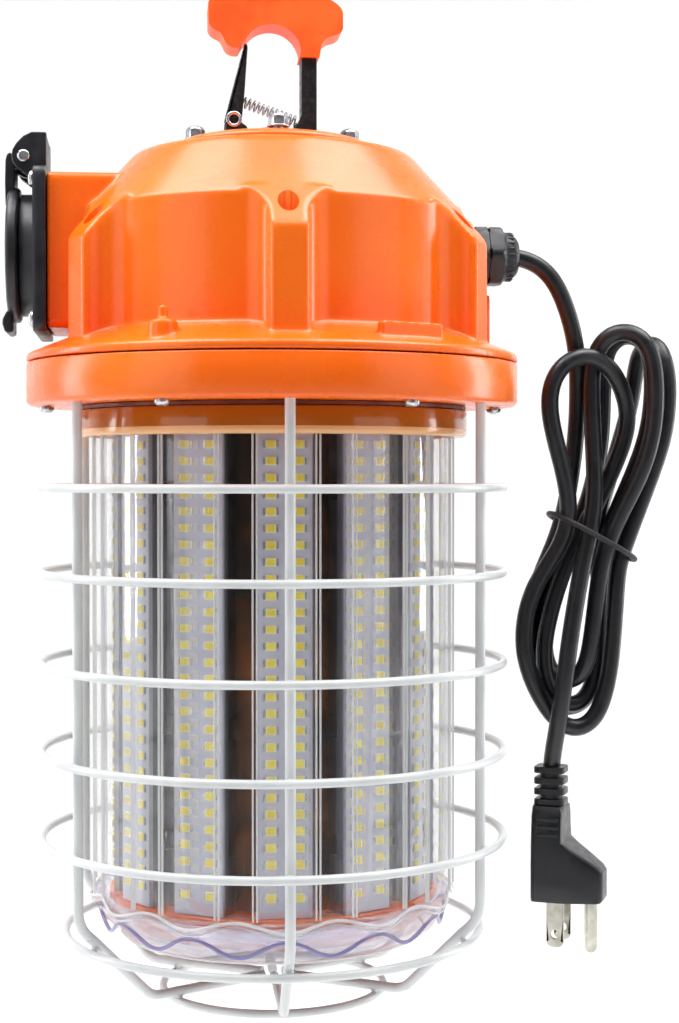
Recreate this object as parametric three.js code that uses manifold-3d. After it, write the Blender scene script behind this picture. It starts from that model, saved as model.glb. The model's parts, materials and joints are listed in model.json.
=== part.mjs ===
// Hanging LED work light: safety hook, die-cast housing, lens, LED column, wire guard and mains lead.
// Millimetres, +Z up. The origin is the hook's saddle, the point that the light hangs from.
// +X is the side of the cable gland, -X the side of the covered outlet, -Y the front.
import * as THREE from "three";
import { mergeVertices } from "three/addons/utils/BufferGeometryUtils.js";
import Module from "manifold-3d";

const wasm = await Module();
wasm.setup();

// ---- Driving dimensions ----
const GAP = 0.3; // between two pieces that touch
const RUN = 0.35; // radial clearance of a pin or screw in its hole

const HOOK_DEPTH = 14; // the grip, front to back
const GRIP_TOP = 10;
const LEG = { left: 9.9, right: 15.4, depth: 10, top: -2.5 };
const COLLAR_BOTTOM = -11.3;
const GATE_PIVOT = { x: -14.3, z: -34.1 };
const GATE_BARREL_R = 2.9;
const GATE_WIDTH = 10.4;
const GATE_PIN_R = 1.4;
const EAR_THICK = 2.2;
const SPRING = { fromX: -9.6, fromZ: -26.7, toX: 7, toZ: -32.6, r: 1.8, wire: 0.35, turns: 11 };

const CAP = { r: 35.3, rim: -45.2, edge: -42.8, top: -40, spigotR: 21.5, spigotBottom: -48.4 };
const CAP_SCREW = { circle: 27.7, count: 4, headR: 3.3, headTop: -35.2, shankR: 1.9, length: 12 };
const BOLT_R = 4;
const BASE_THICK = 2.1;

const WALL = 3; // housing wall
const SHOULDER = { r: 49, z: -46.8 };
const BODY = { r: 69, top: -68.2, bottom: -110.2 };
const FLANGE_R = 87.5;
const BRIM = { r: FLANGE_R - 2.5, z: -116.5 };
const SEAM = -120.2;
const RING_BOTTOM = -135.4;
const LUG = { count: 6, width: 13, r: 79.6, holeR: 3.5, holeCircle: 72.4, holeBottom: -100 };

const TAB = { from: 76, to: 79, width: 2.9, top: -94.5 }; // below the gland

const OUTLET = { face: -79.2, top: -55.7, bottom: -109.2, halfWidth: 24, centre: -82.3 };
const OUTLET_FRAME = { thick: 4.3, top: -54.2, bottom: -110.9, halfWidth: 28, collarR: 21.5, collar: 5.2 };
const FLAP = { r: 23.7, thick: 4.8, lipBottom: -110.4, pinX: -87.4, pinZ: -49.5, pinR: 1.8 };
const SOCKET_R = 16.5;

const GLAND = {
  z: -80.6,
  threadEnd: 58,
  hexFrom: 72.3,
  hexTo: 84.1,
  acrossFlats: 20.6,
  end: 88.8,
  threadR: 7.8,
  bossR: 13,
};

const SPIGOT = { inner: 61.5, outer: 64.7, bottom: -143.4 };
const LENS = { collarR: 69.5, r: 64.8, flute: 0.9, lobes: 12, wall: 2.2, length: 163.1, dome: 13.5 };
const WALL_END = SPIGOT.bottom - LENS.length;
const LENS_BOTTOM = WALL_END - LENS.dome;
const BOARD = { count: 12, face: 56.9, thick: 1.6, width: 18.2, bottom: WALL_END - 0.2 };
const SLAT = { thick: 2.2, width: 17.6 };
const PLATE_THICK = 3;

const WIRE = { ring: 1.5, rod: 1.75 };
const GUARD = { inset: 4.9, rings: [-164.3, -194.4, -226.4, -257.8, -288.5] };
const GUARD_R = FLANGE_R - GUARD.inset;
const RODS = {
  count: 6,
  top: -129,
  knee: LENS_BOTTOM + 7.6,
  flatR: 50.4,
  flatZ: LENS_BOTTOM - 19.8,
  endR: 4.4,
};
const END_HOOPS = { slopeShare: 0.255, lastR: 39.7 };
const RING_SCREW = { count: 6, circle: FLANGE_R - 7, headR: 2.7, headHeight: 2, shankR: 1.6, length: 8 };

const CORD_R = 3.15;
const HANK = {
  upper: { x: 121.2, top: -103.8, r: 26.8 },
  lower: { x: 107.8, bottom: -256.5, r: 20.3 },
  tie: { x: 117.3, z: -182.4, halfWidth: 14, halfHeight: 6 },
  depth: 34,
};
const TAIL_X = 102.1;
const PLUG = {
  top: -266.3,
  relief: -280.6,
  bottom: -314.9,
  left: -5.8,
  right: 5.7,
  earthEnd: 20,
  depth: 20,
  earthDepth: 11,
  turn: -25,
  reliefR: 5.7,
};
const BLADE = { centre: 3, spacing: 12.7, width: 6.35, thick: 1.5, length: 16.2, pinR: 2.4, pinOffset: 11.9 };

const DEG = Math.PI / 180;

// ---- Materials ----
const finish = (color, roughness, metalness = 0) => () =>
  new THREE.MeshStandardMaterial({ color, roughness, metalness });
const orangePaint = finish(0xff6e1e, 0.35);
const orangePlastic = finish(0xff7032, 0.5);
const blackSteel = finish(0x191920, 0.45, 0.6);
const blackPlastic = finish(0x1c1c22, 0.5);
const blackPvc = finish(0x14151a, 0.45);
const zinc = finish(0xc8c8cc, 0.3, 1);
const nickel = finish(0xbebeb4, 0.3, 1);
const whiteWire = finish(0xebeeee, 0.35);
const boardWhite = finish(0xbcbeca, 0.4);
const aluminium = finish(0x9a9ca2, 0.35, 1);
const sealRubber = finish(0x2a2a2c, 0.8);
const greyPlastic = finish(0x8d8f94, 0.5);
const clearPlastic = () =>
  new THREE.MeshStandardMaterial({ color: 0xe8eef4, roughness: 0.05, transparent: true, opacity: 0.35 });

// ---- Solids ----
function solidOf(geometry) {
  const bare = geometry.index ? geometry.toNonIndexed() : geometry.clone();
  bare.deleteAttribute("normal");
  bare.deleteAttribute("uv");
  const merged = mergeVertices(bare, 1e-3);
  return new wasm.Manifold(
    new wasm.Mesh({
      numProp: 3,
      vertProperties: merged.attributes.position.array,
      triVerts: new Uint32Array(merged.index.array),
    }),
  );
}

function geometryOf(solid) {
  const mesh = solid.getMesh();
  const points = new Float32Array((mesh.vertProperties.length / mesh.numProp) * 3);
  for (let i = 0; i < points.length / 3; i++) {
    for (let k = 0; k < 3; k++) points[3 * i + k] = mesh.vertProperties[mesh.numProp * i + k];
  }
  const geometry = new THREE.BufferGeometry();
  geometry.setAttribute("position", new THREE.BufferAttribute(points, 3));
  geometry.setIndex(new THREE.BufferAttribute(new Uint32Array(mesh.triVerts), 1));
  geometry.computeVertexNormals();
  return geometry;
}

const join = (first, ...rest) => rest.reduce((whole, piece) => whole.add(piece), first);
const cut = (first, ...rest) => rest.reduce((whole, piece) => whole.subtract(piece), first);

// A box from its lowest and highest corners.
function box(low, high) {
  const size = high.map((value, axis) => value - low[axis]);
  const geometry = new THREE.BoxGeometry(...size);
  return solidOf(geometry.translate(...high.map((value, axis) => (value + low[axis]) / 2)));
}

// An upright cylinder between two heights, or a cone when top and bottom radii differ.
function column(radius, low, high, { x = 0, y = 0, sides = 24, topRadius = radius } = {}) {
  const geometry = new THREE.CylinderGeometry(topRadius, radius, high - low, sides);
  return solidOf(geometry.rotateX(Math.PI / 2).translate(x, y, (low + high) / 2));
}

// A cylinder along X or Y, between two places on that axis.
function bar(axis, radius, from, to, { x = 0, y = 0, z = 0, sides = 20 } = {}) {
  const geometry = new THREE.CylinderGeometry(radius, radius, to - from, sides);
  if (axis === "x") geometry.rotateZ(-Math.PI / 2).translate((from + to) / 2, y, z);
  else geometry.translate(x, (from + to) / 2, z);
  return solidOf(geometry);
}

// A closed profile of [radius, z] points, turned about the Z axis.
function turned(profile, segments = 48) {
  const points = profile.map(([r, z]) => new THREE.Vector2(r, z));
  points.push(points[0].clone());
  const solid = solidOf(new THREE.LatheGeometry(points, segments).rotateX(Math.PI / 2));
  if (solid.volume() > 0) return solid;
  points.reverse();
  return solidOf(new THREE.LatheGeometry(points, segments).rotateX(Math.PI / 2));
}

// An outline in the XZ plane, given depth in Y about a middle plane.
function slab(shape, depth, middle = 0, curveSegments = 6) {
  const geometry = new THREE.ExtrudeGeometry(shape, { depth, bevelEnabled: false, curveSegments });
  return solidOf(geometry.rotateX(Math.PI / 2).translate(0, middle + depth / 2, 0));
}

const outline = (points) => new THREE.Shape(points.map(([x, z]) => new THREE.Vector2(x, z)));

// A rod of round section along a path of points.
function rod(points, radius, { steps, sides = 8, straight = false } = {}) {
  const places = points.map((point) => new THREE.Vector3(...point));
  const path = straight ? new THREE.CurvePath() : new THREE.CatmullRomCurve3(places);
  if (straight) {
    for (let i = 1; i < places.length; i++) path.add(new THREE.LineCurve3(places[i - 1], places[i]));
  }
  const section = new THREE.Shape();
  section.absarc(0, 0, radius, 0, 2 * Math.PI, false);
  const geometry = new THREE.ExtrudeGeometry(section, {
    steps,
    curveSegments: sides,
    extrudePath: path,
    bevelEnabled: false,
  });
  return solidOf(geometry);
}

// Turns a solid about Z, with 0 at the front and positive angles towards +X.
const around = (solid, degrees) => solid.rotate([0, 0, degrees]);
const evenly = (count, start = 0) => Array.from({ length: count }, (_, i) => start + (360 * i) / count);

const lamp = new THREE.Group();
function place(name, solid, material) {
  const mesh = new THREE.Mesh(geometryOf(solid), material());
  mesh.name = name;
  lamp.add(mesh);
}

// ---- Hook: a steel bracket on a swivel, an orange grip and a sprung gate ----
const baseBottom = CAP.top + GAP;
const baseTop = baseBottom + BASE_THICK;
const earInner = GATE_WIDTH / 2 + GAP;
const earOuter = earInner + EAR_THICK;

function bracket() {
  const base = box([GATE_PIVOT.x - GATE_BARREL_R, -earOuter, baseBottom], [LEG.right, earOuter, baseTop]);
  const legOutline = outline([
    [LEG.left - 3.2, baseTop - 1],
    [LEG.right, baseTop - 1],
    [LEG.right, LEG.top],
    [LEG.left, LEG.top],
    [LEG.left, -31],
  ]);
  const leg = slab(legOutline, LEG.depth);
  const ears = [-1, 1].map((side) => {
    const from = side < 0 ? -earOuter : earInner;
    const disc = bar("y", GATE_BARREL_R, from, from + EAR_THICK, GATE_PIVOT);
    const footing = outline([
      [GATE_PIVOT.x - GATE_BARREL_R, baseTop - 1],
      [GATE_PIVOT.x + GATE_BARREL_R + 2.4, baseTop - 1],
      [GATE_PIVOT.x + GATE_BARREL_R - 0.3, GATE_PIVOT.z + 1],
      [GATE_PIVOT.x - GATE_BARREL_R, GATE_PIVOT.z],
    ]);
    return join(disc, slab(footing, EAR_THICK, from + EAR_THICK / 2));
  });
  const whole = join(base, leg, ...ears);
  const pinHole = bar("y", GATE_PIN_R + RUN, -earOuter - 1, earOuter + 1, GATE_PIVOT);
  const boltHole = column(BOLT_R + RUN, baseBottom - 1, baseTop + 1);
  return cut(whole, pinHole, boltHole);
}
place("hook_bracket", bracket(), blackSteel);

function grip() {
  const shape = new THREE.Shape();
  shape.moveTo(-21, GRIP_TOP);
  shape.quadraticCurveTo(-23.3, GRIP_TOP, -23.3, GRIP_TOP - 2.5);
  shape.lineTo(-23.1, -1.2);
  shape.quadraticCurveTo(-22.4, -2.6, -19.6, -3.3);
  shape.lineTo(-17.2, -6.8);
  shape.quadraticCurveTo(-16.2, -8.7, -13.5, -8.7);
  shape.lineTo(-12.1, -8.7);
  shape.quadraticCurveTo(-11.8, -6.9, -10.4, -5.3);
  shape.absarc(-0.8, -10.5, 10.5, Math.PI - 0.52, 0.1, true);
  shape.lineTo(LEG.left - 0.8, COLLAR_BOTTOM);
  shape.lineTo(LEG.right + 0.8, COLLAR_BOTTOM);
  shape.lineTo(LEG.right + 1.4, -6.8);
  shape.quadraticCurveTo(18, -4, 21, -3.2);
  shape.quadraticCurveTo(24.6, -2.4, 24.6, 0);
  shape.lineTo(24.6, 5);
  shape.lineTo(19.8, GRIP_TOP - 0.8);
  shape.closePath();
  const pocket = box(
    [LEG.left - GAP, -LEG.depth / 2 - GAP, COLLAR_BOTTOM - 1],
    [LEG.right + GAP, LEG.depth / 2 + GAP, LEG.top + GAP],
  );
  return cut(slab(shape, HOOK_DEPTH), pocket);
}
place("hook_grip", grip(), orangePlastic);

// The bolt turns in the cap, and a locknut holds it from inside.
const boltHeadTop = baseTop + GAP + 1;
const nutTop = CAP.spigotBottom - GAP;
const nutBottom = nutTop - 7;
const bolt = join(
  column(6.5, baseTop + GAP, boltHeadTop),
  column(BOLT_R, nutBottom - 2, baseTop + GAP + 0.5, { sides: 16 }),
);
place("hook_bolt", bolt, zinc);
const nutHole = column(BOLT_R + RUN, nutBottom - 1, nutTop + 1, { sides: 16 });
place("hook_nut", cut(column(7.5, nutBottom, nutTop, { sides: 6 }), nutHole), zinc);

function gate() {
  const shape = outline([
    [GATE_PIVOT.x - GATE_BARREL_R, GATE_PIVOT.z],
    [GATE_PIVOT.x + GATE_BARREL_R, GATE_PIVOT.z],
    [-10.4, -24],
    [-9.3, -8],
    [-9.3, -6.6],
    [-10.3, -6.6],
  ]);
  const barrel = bar("y", GATE_BARREL_R, -GATE_WIDTH / 2, GATE_WIDTH / 2, GATE_PIVOT);
  const hole = bar("y", GATE_PIN_R + RUN, -GATE_WIDTH, GATE_WIDTH, GATE_PIVOT);
  const channel = slab(
    outline([
      [-14.6, -30.4],
      [-9, -30.4],
      [-8, -14],
      [-11.1, -14],
    ]),
    GATE_WIDTH - 3,
  );
  return cut(join(slab(shape, GATE_WIDTH), barrel), channel, hole);
}
place("hook_gate", gate(), blackSteel);

const pinHeadR = GATE_PIN_R + 1;
const gatePin = join(
  bar("y", GATE_PIN_R, -earOuter - GAP - 0.5, earOuter + GAP + 0.5, { ...GATE_PIVOT, sides: 12 }),
  bar("y", pinHeadR, -earOuter - GAP - 1.2, -earOuter - GAP, { ...GATE_PIVOT, sides: 12 }),
  bar("y", pinHeadR, earOuter + GAP, earOuter + GAP + 1.2, { ...GATE_PIVOT, sides: 12 }),
);
place("gate_pin", gatePin, zinc);

// A compression spring between the gate and the leg, as a helix along a sloping axis.
function gateSpring() {
  const start = new THREE.Vector3(SPRING.fromX, 0, SPRING.fromZ);
  const end = new THREE.Vector3(SPRING.toX, 0, SPRING.toZ);
  const along = end.clone().sub(start);
  const side = new THREE.Vector3(0, 1, 0);
  const up = new THREE.Vector3().crossVectors(along, side).normalize();
  const perTurn = 8;
  const points = [];
  for (let i = 0; i <= SPRING.turns * perTurn; i++) {
    const angle = (2 * Math.PI * i) / perTurn;
    const point = start.clone().addScaledVector(along, i / (SPRING.turns * perTurn));
    point.addScaledVector(side, SPRING.r * Math.cos(angle));
    point.addScaledVector(up, SPRING.r * Math.sin(angle));
    points.push(point.toArray());
  }
  return rod(points, SPRING.wire, { steps: points.length - 1, sides: 2 });
}
place("gate_spring", gateSpring(), zinc);

// ---- Top cap and its screws ----
const capPlate = turned([
  [BOLT_R + RUN, CAP.top],
  [15, CAP.top],
  [25, CAP.top - 0.5],
  [32.5, CAP.top - 1.6],
  [CAP.r, CAP.edge],
  [CAP.r, CAP.rim],
  [CAP.spigotR, CAP.rim],
  [CAP.spigotR, CAP.spigotBottom],
  [BOLT_R + RUN, CAP.spigotBottom],
]);
const capAngles = evenly(CAP_SCREW.count);
const onCircle = (radius, degrees) => ({
  x: radius * Math.sin(degrees * DEG),
  y: -radius * Math.cos(degrees * DEG),
});
const headBottom = CAP.top - 0.6 + GAP;
const shankBottom = headBottom - CAP_SCREW.length;
const capScrewAt = (degrees) => onCircle(CAP_SCREW.circle, degrees);
const capHole = (degrees) => {
  const bore = { ...capScrewAt(degrees), sides: 12 };
  return column(CAP_SCREW.shankR + RUN, shankBottom - 1, CAP.top + 1, bore);
};
const capSeat = (degrees) => {
  const recess = { ...capScrewAt(degrees), sides: 16 };
  return column(CAP_SCREW.headR + GAP, headBottom - GAP, CAP.top + 1, recess);
};
place("top_cap", cut(capPlate, ...capAngles.map(capHole), ...capAngles.map(capSeat)), orangePaint);

capAngles.forEach((degrees, i) => {
  const at = capScrewAt(degrees);
  const domeFrom = CAP_SCREW.headTop - 1.7;
  const dome = { ...at, sides: 12, topRadius: 1.4 };
  const screw = join(
    column(CAP_SCREW.headR, headBottom, domeFrom + 0.1, { ...at, sides: 6 }),
    column(CAP_SCREW.headR - 0.5, domeFrom, CAP_SCREW.headTop, dome),
    column(CAP_SCREW.shankR, shankBottom, headBottom + 0.5, { ...at, sides: 8 }),
  );
  place(`top_screw_${i + 1}`, screw, zinc);
});

// ---- Upper housing: a shell with lugs, an outlet box and a gland boss ----
const slopeRun = BODY.r - SHOULDER.r;
const slopeDrop = SHOULDER.z - BODY.top;
const slopeAt = (r) => SHOULDER.z - ((r - SHOULDER.r) * slopeDrop) / slopeRun;
const brimAt = (r) => BODY.bottom - ((r - BODY.r) * (BODY.bottom - BRIM.z)) / (BRIM.r - BODY.r);
const seatTop = CAP.rim - GAP;
const openR = CAP.spigotR + 0.5;
const rimInner = FLANGE_R - WALL;

function housing() {
  const shell = turned([
    [openR, seatTop],
    [CAP.r + 3, seatTop],
    [SHOULDER.r - 3, SHOULDER.z + 0.6],
    [SHOULDER.r, SHOULDER.z],
    [SHOULDER.r + 2, SHOULDER.z - 1.6],
    [BODY.r, BODY.top],
    [BODY.r, BODY.bottom],
    [BRIM.r, BRIM.z],
    [FLANGE_R, BRIM.z - 1.6],
    [FLANGE_R, SEAM],
    [rimInner, SEAM],
    [rimInner, BRIM.z - WALL],
    [BODY.r - WALL, BODY.bottom - WALL],
    [BODY.r - WALL, BODY.top - 1],
    [SHOULDER.r - 1, SHOULDER.z - WALL],
    [CAP.r, seatTop - WALL - 1],
    [openR, seatTop - WALL - 1],
  ]);
  const lugInner = BODY.r - WALL + 0.5;
  const lugProfile = outline([
    [lugInner, slopeAt(BODY.r) - 2.5],
    [BODY.r, slopeAt(BODY.r) - 0.1],
    [LUG.r, slopeAt(LUG.r) - 0.1],
    [LUG.r, brimAt(LUG.r) - 1],
    [lugInner, BODY.bottom - 1],
  ]);
  // The profile is drawn towards +X, so a quarter turn back brings it to the front.
  const lug = slab(lugProfile, LUG.width);
  const hole = column(LUG.holeR, LUG.holeBottom, BODY.top + 8, { x: LUG.holeCircle, sides: 48 });
  const toFront = (solid, degrees) => around(solid, degrees - 90);
  const bossOut = 80;
  const boss = join(
    column(4.85, brimAt(bossOut) - 2, BODY.bottom, { x: bossOut, sides: 20 }),
    column(1.75, BODY.bottom - 1, BODY.bottom + 4.8, { x: bossOut, sides: 10 }),
  );
  const padHalf = { depth: 1.5, width: 12.8 };
  const pad = box(
    [bossOut - padHalf.depth, -padHalf.width, brimAt(bossOut) - 2],
    [bossOut + padHalf.depth, padHalf.width, BODY.bottom],
  );
  const tab = box([TAB.from, -TAB.width / 2, brimAt(TAB.to) - 2], [TAB.to, TAB.width / 2, TAB.top]);
  const outletBox = box([OUTLET.face, -OUTLET.halfWidth, OUTLET.bottom], [-50, OUTLET.halfWidth, OUTLET.top]);
  const roomTop = OUTLET.top - WALL;
  const roomBottom = OUTLET.bottom + WALL;
  const roomHalf = OUTLET.halfWidth - WALL;
  const outletRoom = box([OUTLET.face + WALL, -roomHalf, roomBottom], [-48, roomHalf, roomTop]);
  const socketEnd = OUTLET.face + WALL + 1;
  const outletHole = bar("x", SOCKET_R + GAP, OUTLET.face - 1, socketEnd, { z: OUTLET.centre, sides: 32 });
  const bossEnd = GLAND.hexFrom - GAP;
  const glandBoss = bar("x", GLAND.bossR, BODY.r - WALL + 0.5, bossEnd, { z: GLAND.z, sides: 24 });
  const glandHole = bar("x", GLAND.threadR + RUN, GLAND.threadEnd, GLAND.hexTo, { z: GLAND.z, sides: 20 });
  const whole = join(
    shell,
    ...evenly(LUG.count).map((degrees) => toFront(lug, degrees)),
    toFront(boss, -30),
    toFront(pad, 30),
    toFront(tab, 90),
    outletBox,
    glandBoss,
  );
  // A lug that the outlet box takes the place of leaves no hole in it.
  const holes = evenly(LUG.count).map((degrees) => toFront(hole, degrees));
  return cut(whole, ...holes, outletRoom, outletHole, glandHole, ...capAngles.map(capHole));
}
place("upper_housing", housing(), orangePaint);

// ---- Seam gasket and lower ring ----
const ledge = SEAM - 4;
const gasketR = { inner: rimInner - 7, outer: rimInner - 2 };
place(
  "housing_gasket",
  turned([
    [gasketR.inner, ledge + GAP],
    [gasketR.inner, ledge + GAP + 2.4],
    [gasketR.outer, ledge + GAP + 2.4],
    [gasketR.outer, ledge + GAP],
  ], 36),
  sealRubber,
);

const rodAngles = evenly(RODS.count);
const screwAngles = evenly(RING_SCREW.count, 30);
const ringInner = GUARD_R - WIRE.ring;
const rodCircle = ringInner - GAP - WIRE.rod;
function lowerRing() {
  const ring = turned([
    [SPIGOT.inner, SPIGOT.bottom],
    [SPIGOT.outer, SPIGOT.bottom],
    [SPIGOT.outer, RING_BOTTOM],
    [FLANGE_R - 1, RING_BOTTOM],
    [FLANGE_R, RING_BOTTOM + 1],
    [FLANGE_R, SEAM - GAP],
    [rimInner, SEAM - GAP],
    [rimInner, ledge],
    [BODY.r, ledge],
    [BODY.r, RING_BOTTOM + 4],
    [SPIGOT.inner, RING_BOTTOM + 4],
  ]);
  const rodHoles = rodAngles.map((degrees) =>
    column(WIRE.rod + RUN, RING_BOTTOM - 1, RODS.top + 1, { ...onCircle(rodCircle, degrees), sides: 12 }));
  const screwHoles = screwAngles.map((degrees) =>
    column(RING_SCREW.shankR + RUN, RING_BOTTOM - 1, RING_BOTTOM + RING_SCREW.length + 1, {
      ...onCircle(RING_SCREW.circle, degrees),
      sides: 10,
    }));
  return cut(ring, ...rodHoles, ...screwHoles);
}
place("lower_ring", lowerRing(), orangePaint);

screwAngles.forEach((degrees, i) => {
  const at = onCircle(RING_SCREW.circle, degrees);
  const seat = RING_BOTTOM - GAP;
  const screw = join(
    column(RING_SCREW.headR, seat - RING_SCREW.headHeight, seat, { ...at, sides: 12 }),
    column(RING_SCREW.shankR, seat - 0.5, seat + RING_SCREW.length, { ...at, sides: 8 }),
  );
  place(`ring_screw_${i + 1}`, screw, zinc);
});

// ---- Lens: a fluted clear cup with a collar, and its seal ----
const lensInner = SPIGOT.outer + GAP;
place(
  "lens_gasket",
  turned([
    [lensInner + 0.4, RING_BOTTOM - GAP - 1.2],
    [LENS.collarR - 0.4, RING_BOTTOM - GAP - 1.2],
    [LENS.collarR - 0.4, RING_BOTTOM - GAP],
    [lensInner + 0.4, RING_BOTTOM - GAP],
  ], 36),
  sealRubber,
);

function lens() {
  const collarTop = RING_BOTTOM - 2 * GAP - 1.2;
  const step = SPIGOT.bottom - GAP;
  const collarBottom = step - LENS.wall;
  const segments = LENS.lobes * 4;
  const outer = turned([
    [0, collarTop],
    [LENS.collarR, collarTop],
    [LENS.collarR, collarBottom],
    [LENS.r, collarBottom],
    [LENS.r, WALL_END],
    [LENS.r - 4, WALL_END - 8],
    [LENS.r - 12, LENS_BOTTOM],
    [0, LENS_BOTTOM],
  ], segments);
  const inside = LENS.r - LENS.wall;
  const inner = turned([
    [0, collarTop + 1],
    [lensInner, collarTop + 1],
    [lensInner, step],
    [inside, step],
    [inside, WALL_END],
    [inside - 4, WALL_END - 6],
    [inside - 12, LENS_BOTTOM + 2.5],
    [0, LENS_BOTTOM + 2.5],
  ], segments);
  const fluted = cut(outer, inner).warp((point) => {
    if (point[2] > collarBottom - 1) return;
    const radius = Math.hypot(point[0], point[1]);
    if (radius < 1) return;
    const wave = 1 + (LENS.flute / LENS.r) * Math.cos(LENS.lobes * Math.atan2(point[0], -point[1]));
    point[0] *= wave;
    point[1] *= wave;
  });
  return fluted;
}
place("lens_cover", lens(), clearPlastic);

// ---- LED column: a slatted aluminium core, twelve boards and two end plates ----
const plateBottom = SPIGOT.bottom;
const boardTop = plateBottom - GAP;
const boardAngles = evenly(BOARD.count);
const endPlate = (radius, low, hole) =>
  turned([
    [hole, low],
    [radius, low],
    [radius, low + PLATE_THICK],
    [hole, low + PLATE_THICK],
  ], 36);
place("led_top_plate", endPlate(SPIGOT.inner - GAP, plateBottom, 38), orangePaint);
place("led_bottom_plate", endPlate(BOARD.face + 1.6, BOARD.bottom - GAP - PLATE_THICK, 30), orangePaint);

// One upright strip at the front, facing -Y, from its face inwards.
const strip = (face, thick, width) =>
  box([-width / 2, -face, BOARD.bottom], [width / 2, -face + thick, boardTop]);
const boardBack = BOARD.face - BOARD.thick;
const slatFace = boardBack - GAP;
const slatBack = slatFace - SLAT.thick;
const coreRing = (low) =>
  turned([
    [slatBack - 4, low],
    [slatBack + 1, low],
    [slatBack + 1, low + 3],
    [slatBack - 4, low + 3],
  ], 36);
const slats = boardAngles.map((degrees) => around(strip(slatFace, SLAT.thick, SLAT.width), degrees));
place("led_core", join(...slats, coreRing(boardTop - 3), coreRing(BOARD.bottom)), aluminium);

const linkRing = turned([
  [boardBack + 0.7, boardTop - 1],
  [BOARD.face - 0.3, boardTop - 1],
  [BOARD.face - 0.3, boardTop],
  [boardBack + 0.7, boardTop],
], 72);
const boards = boardAngles.map((degrees) => around(strip(BOARD.face, BOARD.thick, BOARD.width), degrees));
place("led_board_set", join(...boards, linkRing), boardWhite);

// ---- Inside the housing: the driver on its tray, and the terminal block ----
const trayTop = SEAM + 8;
place(
  "driver_tray",
  endPlate(BODY.r - WALL - 1, trayTop - PLATE_THICK, 18),
  aluminium,
);
place("led_driver", box([-38, -24, trayTop + GAP], [38, 24, trayTop + 30]), greyPlastic);
place("terminal_block", box([40 + GAP, -9, trayTop + GAP], [54, 9, trayTop + 14]), greyPlastic);

// ---- Covered outlet on the -X side ----
const frameBack = OUTLET.face - GAP;
const frameFront = frameBack - OUTLET_FRAME.thick;
const collarFront = frameFront - OUTLET_FRAME.collar;
const flapBack = collarFront - GAP;
const flapFront = flapBack - FLAP.thick;
const hingeHalf = 9;
const knuckleR = FLAP.pinR + 2.4;
const springHalf = 5; // the spring sits in a gap in the middle of the knuckle
const alongHinge = (radius, half, sides = 12) =>
  bar("y", radius, -half, half, { x: FLAP.pinX, z: FLAP.pinZ, sides });

function outletFrame() {
  const plate = box(
    [frameFront, -OUTLET_FRAME.halfWidth, OUTLET_FRAME.bottom],
    [frameBack, OUTLET_FRAME.halfWidth, OUTLET_FRAME.top],
  );
  const collar = bar("x", OUTLET_FRAME.collarR, collarFront, frameFront + 1, { z: OUTLET.centre, sides: 32 });
  const block = outline([
    [frameBack, OUTLET_FRAME.top - 3],
    [frameBack, FLAP.pinZ + 8.4],
    [frameBack - 5.2, FLAP.pinZ + 8.4],
    [FLAP.pinX - 2.4, FLAP.pinZ + 4.6],
    [FLAP.pinX - 4.2, FLAP.pinZ],
    [FLAP.pinX - 2.4, FLAP.pinZ - 4],
    [frameFront, OUTLET_FRAME.top - 3],
  ]);
  const cheeks = [-1, 1].map((side) => slab(block, 4, side * (hingeHalf + 4 + GAP)));
  const hole = bar("x", SOCKET_R + GAP, collarFront - 1, frameBack + 1, { z: OUTLET.centre, sides: 32 });
  return cut(join(plate, collar, ...cheeks), hole, alongHinge(FLAP.pinR + RUN, 20));
}
place("outlet_frame", outletFrame(), blackPlastic);

// The receptacle has two slots and a round earth hole in its face.
function outletInsert() {
  const face = frameBack - 3;
  const body = bar("x", SOCKET_R, face, OUTLET.face + 20, { z: OUTLET.centre, sides: 32 });
  const depth = 9;
  const slots = [-1, 1].map((side) => {
    const y = (side * BLADE.spacing) / 2;
    return box([face - 1, y - 1.1, OUTLET.centre - 1], [face + depth, y + 1.1, OUTLET.centre + 7]);
  });
  const earth = bar("x", BLADE.pinR + 0.4, face - 1, face + depth, { z: OUTLET.centre - 8.9, sides: 12 });
  return cut(body, ...slots, earth);
}
place("outlet_insert", outletInsert(), blackPlastic);

// The flap: a round cap with a finger lip below, on an arm to its knuckle.
function outletFlap() {
  const cap = bar("x", FLAP.r, flapFront, flapBack, { z: OUTLET.centre, sides: 36 });
  const lip = box([flapFront - 1.2, -10, FLAP.lipBottom], [flapFront + 2.6, 10, FLAP.lipBottom + 8]);
  const arm = box([flapFront, -hingeHalf, OUTLET.centre + 18], [flapFront + 3.2, hingeHalf, FLAP.pinZ]);
  const knuckle = alongHinge(knuckleR, hingeHalf, 16);
  const springRoom = alongHinge(knuckleR + 1, springHalf + GAP, 16);
  return cut(join(cap, lip, arm, knuckle), alongHinge(FLAP.pinR + RUN, 20), springRoom);
}
place("outlet_flap", outletFlap(), blackPlastic);

place("flap_pin", alongHinge(FLAP.pinR, hingeHalf + 7), zinc);

function torsionSpring() {
  const perTurn = 10;
  const turns = 6;
  const coilR = FLAP.pinR + 1.1;
  const points = [];
  for (let i = 0; i <= turns * perTurn; i++) {
    const angle = (2 * Math.PI * i) / perTurn;
    const y = (i / (turns * perTurn) - 0.5) * 2 * (springHalf - 0.6);
    points.push([FLAP.pinX + coilR * Math.cos(angle), y, FLAP.pinZ + coilR * Math.sin(angle)]);
  }
  return rod(points, 0.45, { steps: points.length - 1, sides: 2 });
}
place("flap_spring", torsionSpring(), zinc);

// The flap's seal is a ring on its inner face, inside the collar.
const sealRing = cut(
  bar("x", SOCKET_R - 1, flapBack + GAP, flapBack + GAP + 2, { z: OUTLET.centre, sides: 24 }),
  bar("x", SOCKET_R - 4, flapBack - 1, flapBack + 4, { z: OUTLET.centre, sides: 24 }),
);
place("flap_seal", sealRing, sealRubber);

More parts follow.
